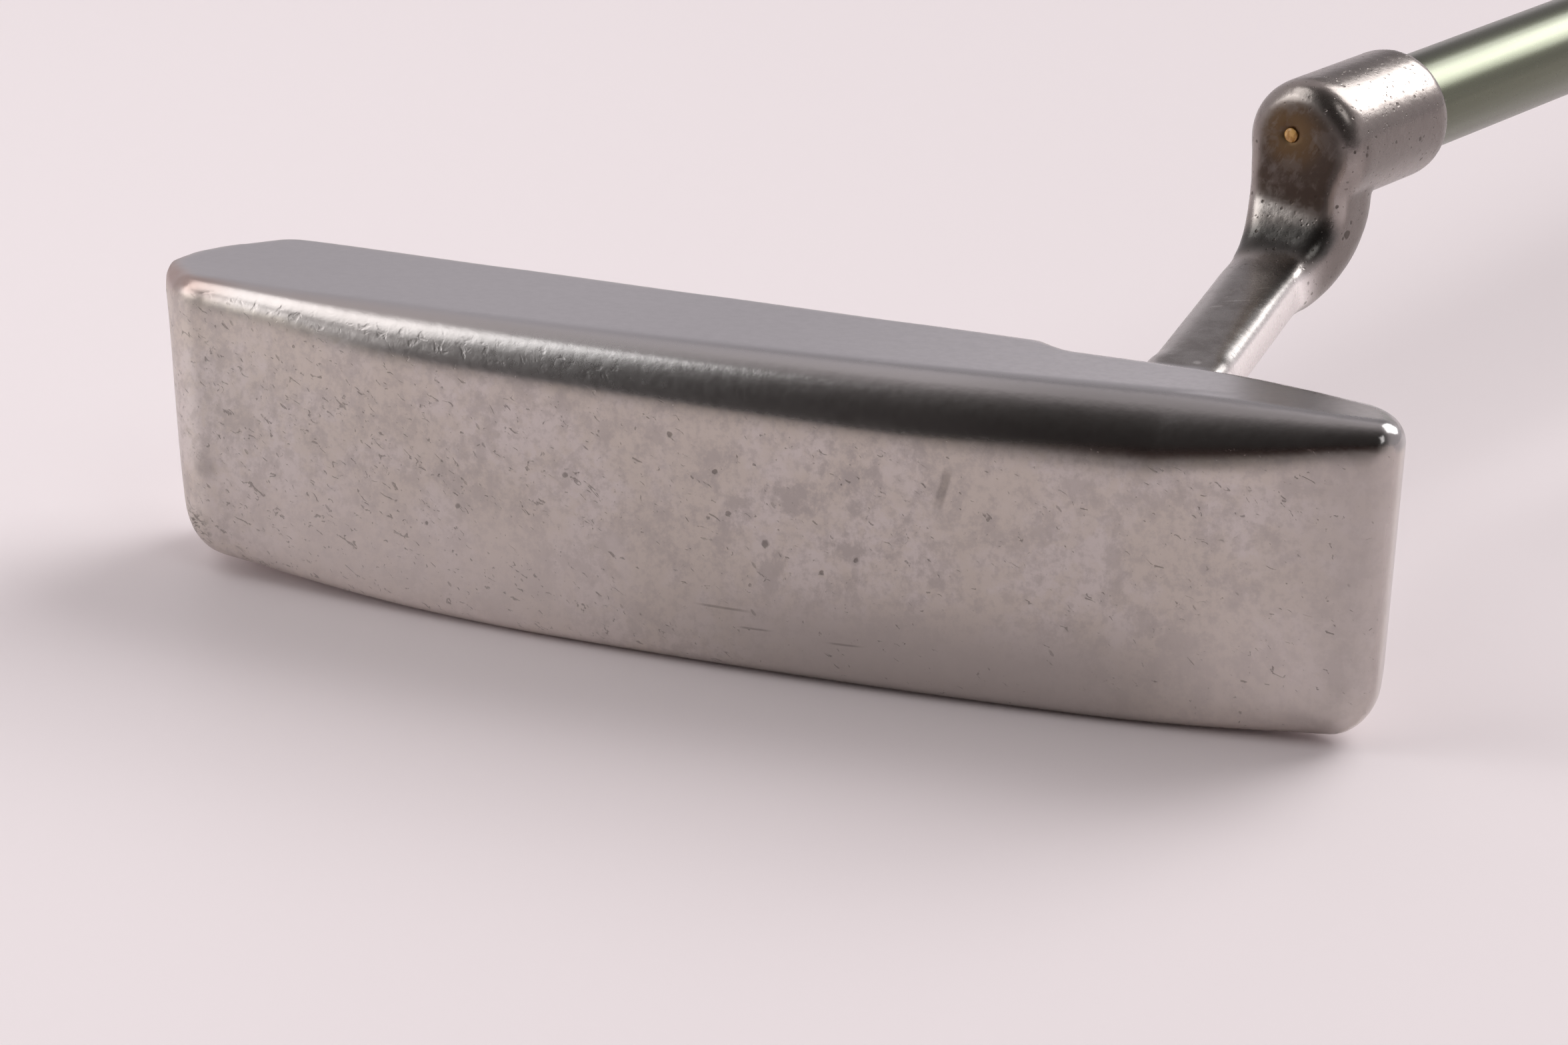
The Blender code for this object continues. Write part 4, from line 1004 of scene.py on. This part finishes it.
studio = {
    "floor": (0.965, 0.884, 0.900),
    "floorSides": 96,
    "floorRadius": 4.0,  # metres
    "floorRoughness": 0.45,
    "floorGloss": 0.3,
    "darkSide": (0.262, -0.720, 0.643),  # the room is darkest this way
    # share of the way from the far wall to the dark side, and its colour
    "room": [(0.20, (0.72, 0.665, 0.692)), (0.64, (0.55, 0.507, 0.518)), (0.70, (0.39, 0.358, 0.362)),
             (0.77, (0.22, 0.200, 0.202)), (0.83, (0.13, 0.118, 0.116)), (0.88, (0.085, 0.076, 0.074)),
             (0.94, (0.056, 0.049, 0.047)), (1.0, (0.040, 0.034, 0.033))],
    "gap": (-0.354, 0.834, 0.423),  # a darker patch of the far wall
    "gapEdge": (0.93, 0.985),
    "gapDepth": 0.62,
    # metres from the head, the way the long side runs, sides and radiance
    "lamps": {
        "leftLamp": {"place": (-0.2665, -0.126, 0.350), "along": (-0.054, -0.844, -0.534), "size": (0.26, 0.20),
                     "radiance": 2.15},
        "lowLeftLamp": {"place": (-0.80, -0.748, 0.488), "along": (0.68, -0.73, 0.0), "size": (0.66, 0.54),
                        "radiance": 2.4},
        "backLamp": {"place": (0.44, 1.936, 0.926), "along": (1.0, -0.22, 0.0), "size": (0.86, 0.70),
                     "radiance": 3.9},
        "rightLamp": {"place": (0.458, -0.160, 0.645), "along": (0.33, 0.94, 0.0), "size": (0.24, 0.40),
                      "radiance": 1.35},
        "highLamp": {"place": (0.296, 1.395, 1.285), "along": (0.98, -0.21, 0.0), "size": (1.28, 1.28),
                     "radiance": 3.4},
    },
}
lens = {
    "place": (125.1, -328.74, 117.4),  # mm in the club's axes
    "right": (0.938, 0.3466, 0.0032),
    "down": (0.1246, -0.3288, -0.9361),
    "ahead": (-0.3234, 0.8785, -0.3516),
    "focal": 6493.0,  # pixels
    "sensor": 36.0,  # mm
    "nearest": 0.01,  # metres
}


def makeFloor():
    bm = bmesh.new()
    bmesh.ops.create_circle(bm, cap_ends=True, segments=studio["floorSides"],
                            radius=studio["floorRadius"])
    material, _, shader = finish("paleTable")
    connect(shader, colour=studio["floor"], roughness=studio["floorRoughness"])
    shader.inputs["Specular IOR Level"].default_value = studio["floorGloss"]
    pieceOf("tableTop", meshOf("tableTop", bm), material)


def makeLamp(name, settings):
    out = Vector(settings["place"]).normalized()
    along = Vector(settings["along"])
    along = (along - out * along.dot(out)).normalized()
    data = bpy.data.lights.new(name, "AREA")
    data.shape = "RECTANGLE"
    data.size, data.size_y = settings["size"]
    data.energy = settings["radiance"] * math.pi * data.size * data.size_y
    lamp = bpy.data.objects.new(name, data)
    scene.collection.objects.link(lamp)
    turn = Matrix((along, out.cross(along), out)).transposed().to_4x4()
    lamp.matrix_world = Matrix.Translation(Vector(club["origin"]) + Vector(settings["place"])) @ turn
    lamp.visible_camera = False


def makeWorld():
    world = bpy.data.worlds.new("studioRoom")
    scene.world = world
    world.use_nodes = True
    tree = world.node_tree
    direction = Wire(tree).node("ShaderNodeTexCoord")
    toDark, toGap = [direction.node("ShaderNodeVectorMath", {"operation": "DOT_PRODUCT"},
                                    {0: direction, 1: studio[key]}, out=1) for key in ("darkSide", "gap")]
    room = direction.node("ShaderNodeValToRGB", {"stops": studio["room"]}, {0: toDark * 0.5 + 0.5})
    room = toGap.step(*studio["gapEdge"], 0.0, studio["gapDepth"]).blend(room, (0.0, 0.0, 0.0))
    tree.links.new(room.socket, tree.nodes["Background"].inputs["Color"])


def makeCamera():
    data = bpy.data.cameras.new("photoCamera")
    data.sensor_fit = "HORIZONTAL"
    data.sensor_width = lens["sensor"]
    data.lens = lens["focal"] / photoWidth * lens["sensor"]
    data.clip_start = lens["nearest"]
    camera = bpy.data.objects.new("photoCamera", data)
    scene.collection.objects.link(camera)
    axes = [clubTurn @ Vector(lens[key]) for key in ("right", "down", "ahead")]
    turn = Matrix((axes[0], -axes[1], -axes[2])).transposed().to_quaternion().to_matrix()
    camera.matrix_world = Matrix.Translation(clubPlace @ (Vector(lens["place"]) / perMetre)) @ turn.to_4x4()
    scene.camera = camera


makeCamera()
makeWorld()
makeFloor()
for lampName, lampSettings in studio["lamps"].items():
    makeLamp(lampName, lampSettings)
print("studio ready")
grip = makeGrip()
pieces = [(makeHead(), "head", "cast_steel"), (makeShaft(), "shaft", "green_steel"),
          (makeGlue(), "hosel_epoxy", "amber_resin"), (grip, "grip", "grip_rubber"),
          (makeCap(), "grip_cap", "cap_rubber"), (makeSightLine(), "sight_line_fill", "white_paint"),
          (makePips(grip.data.materials[0]), None, "grip_rubber")]
for piece, node, slotName in pieces:
    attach(piece, "root")
    if node:
        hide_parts(node)
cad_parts["shaft_tip_plug"].material_slots[0].material = corkStopper()
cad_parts["grip_tape"].material_slots[0].material = creasedTape()
print("pieces ready")
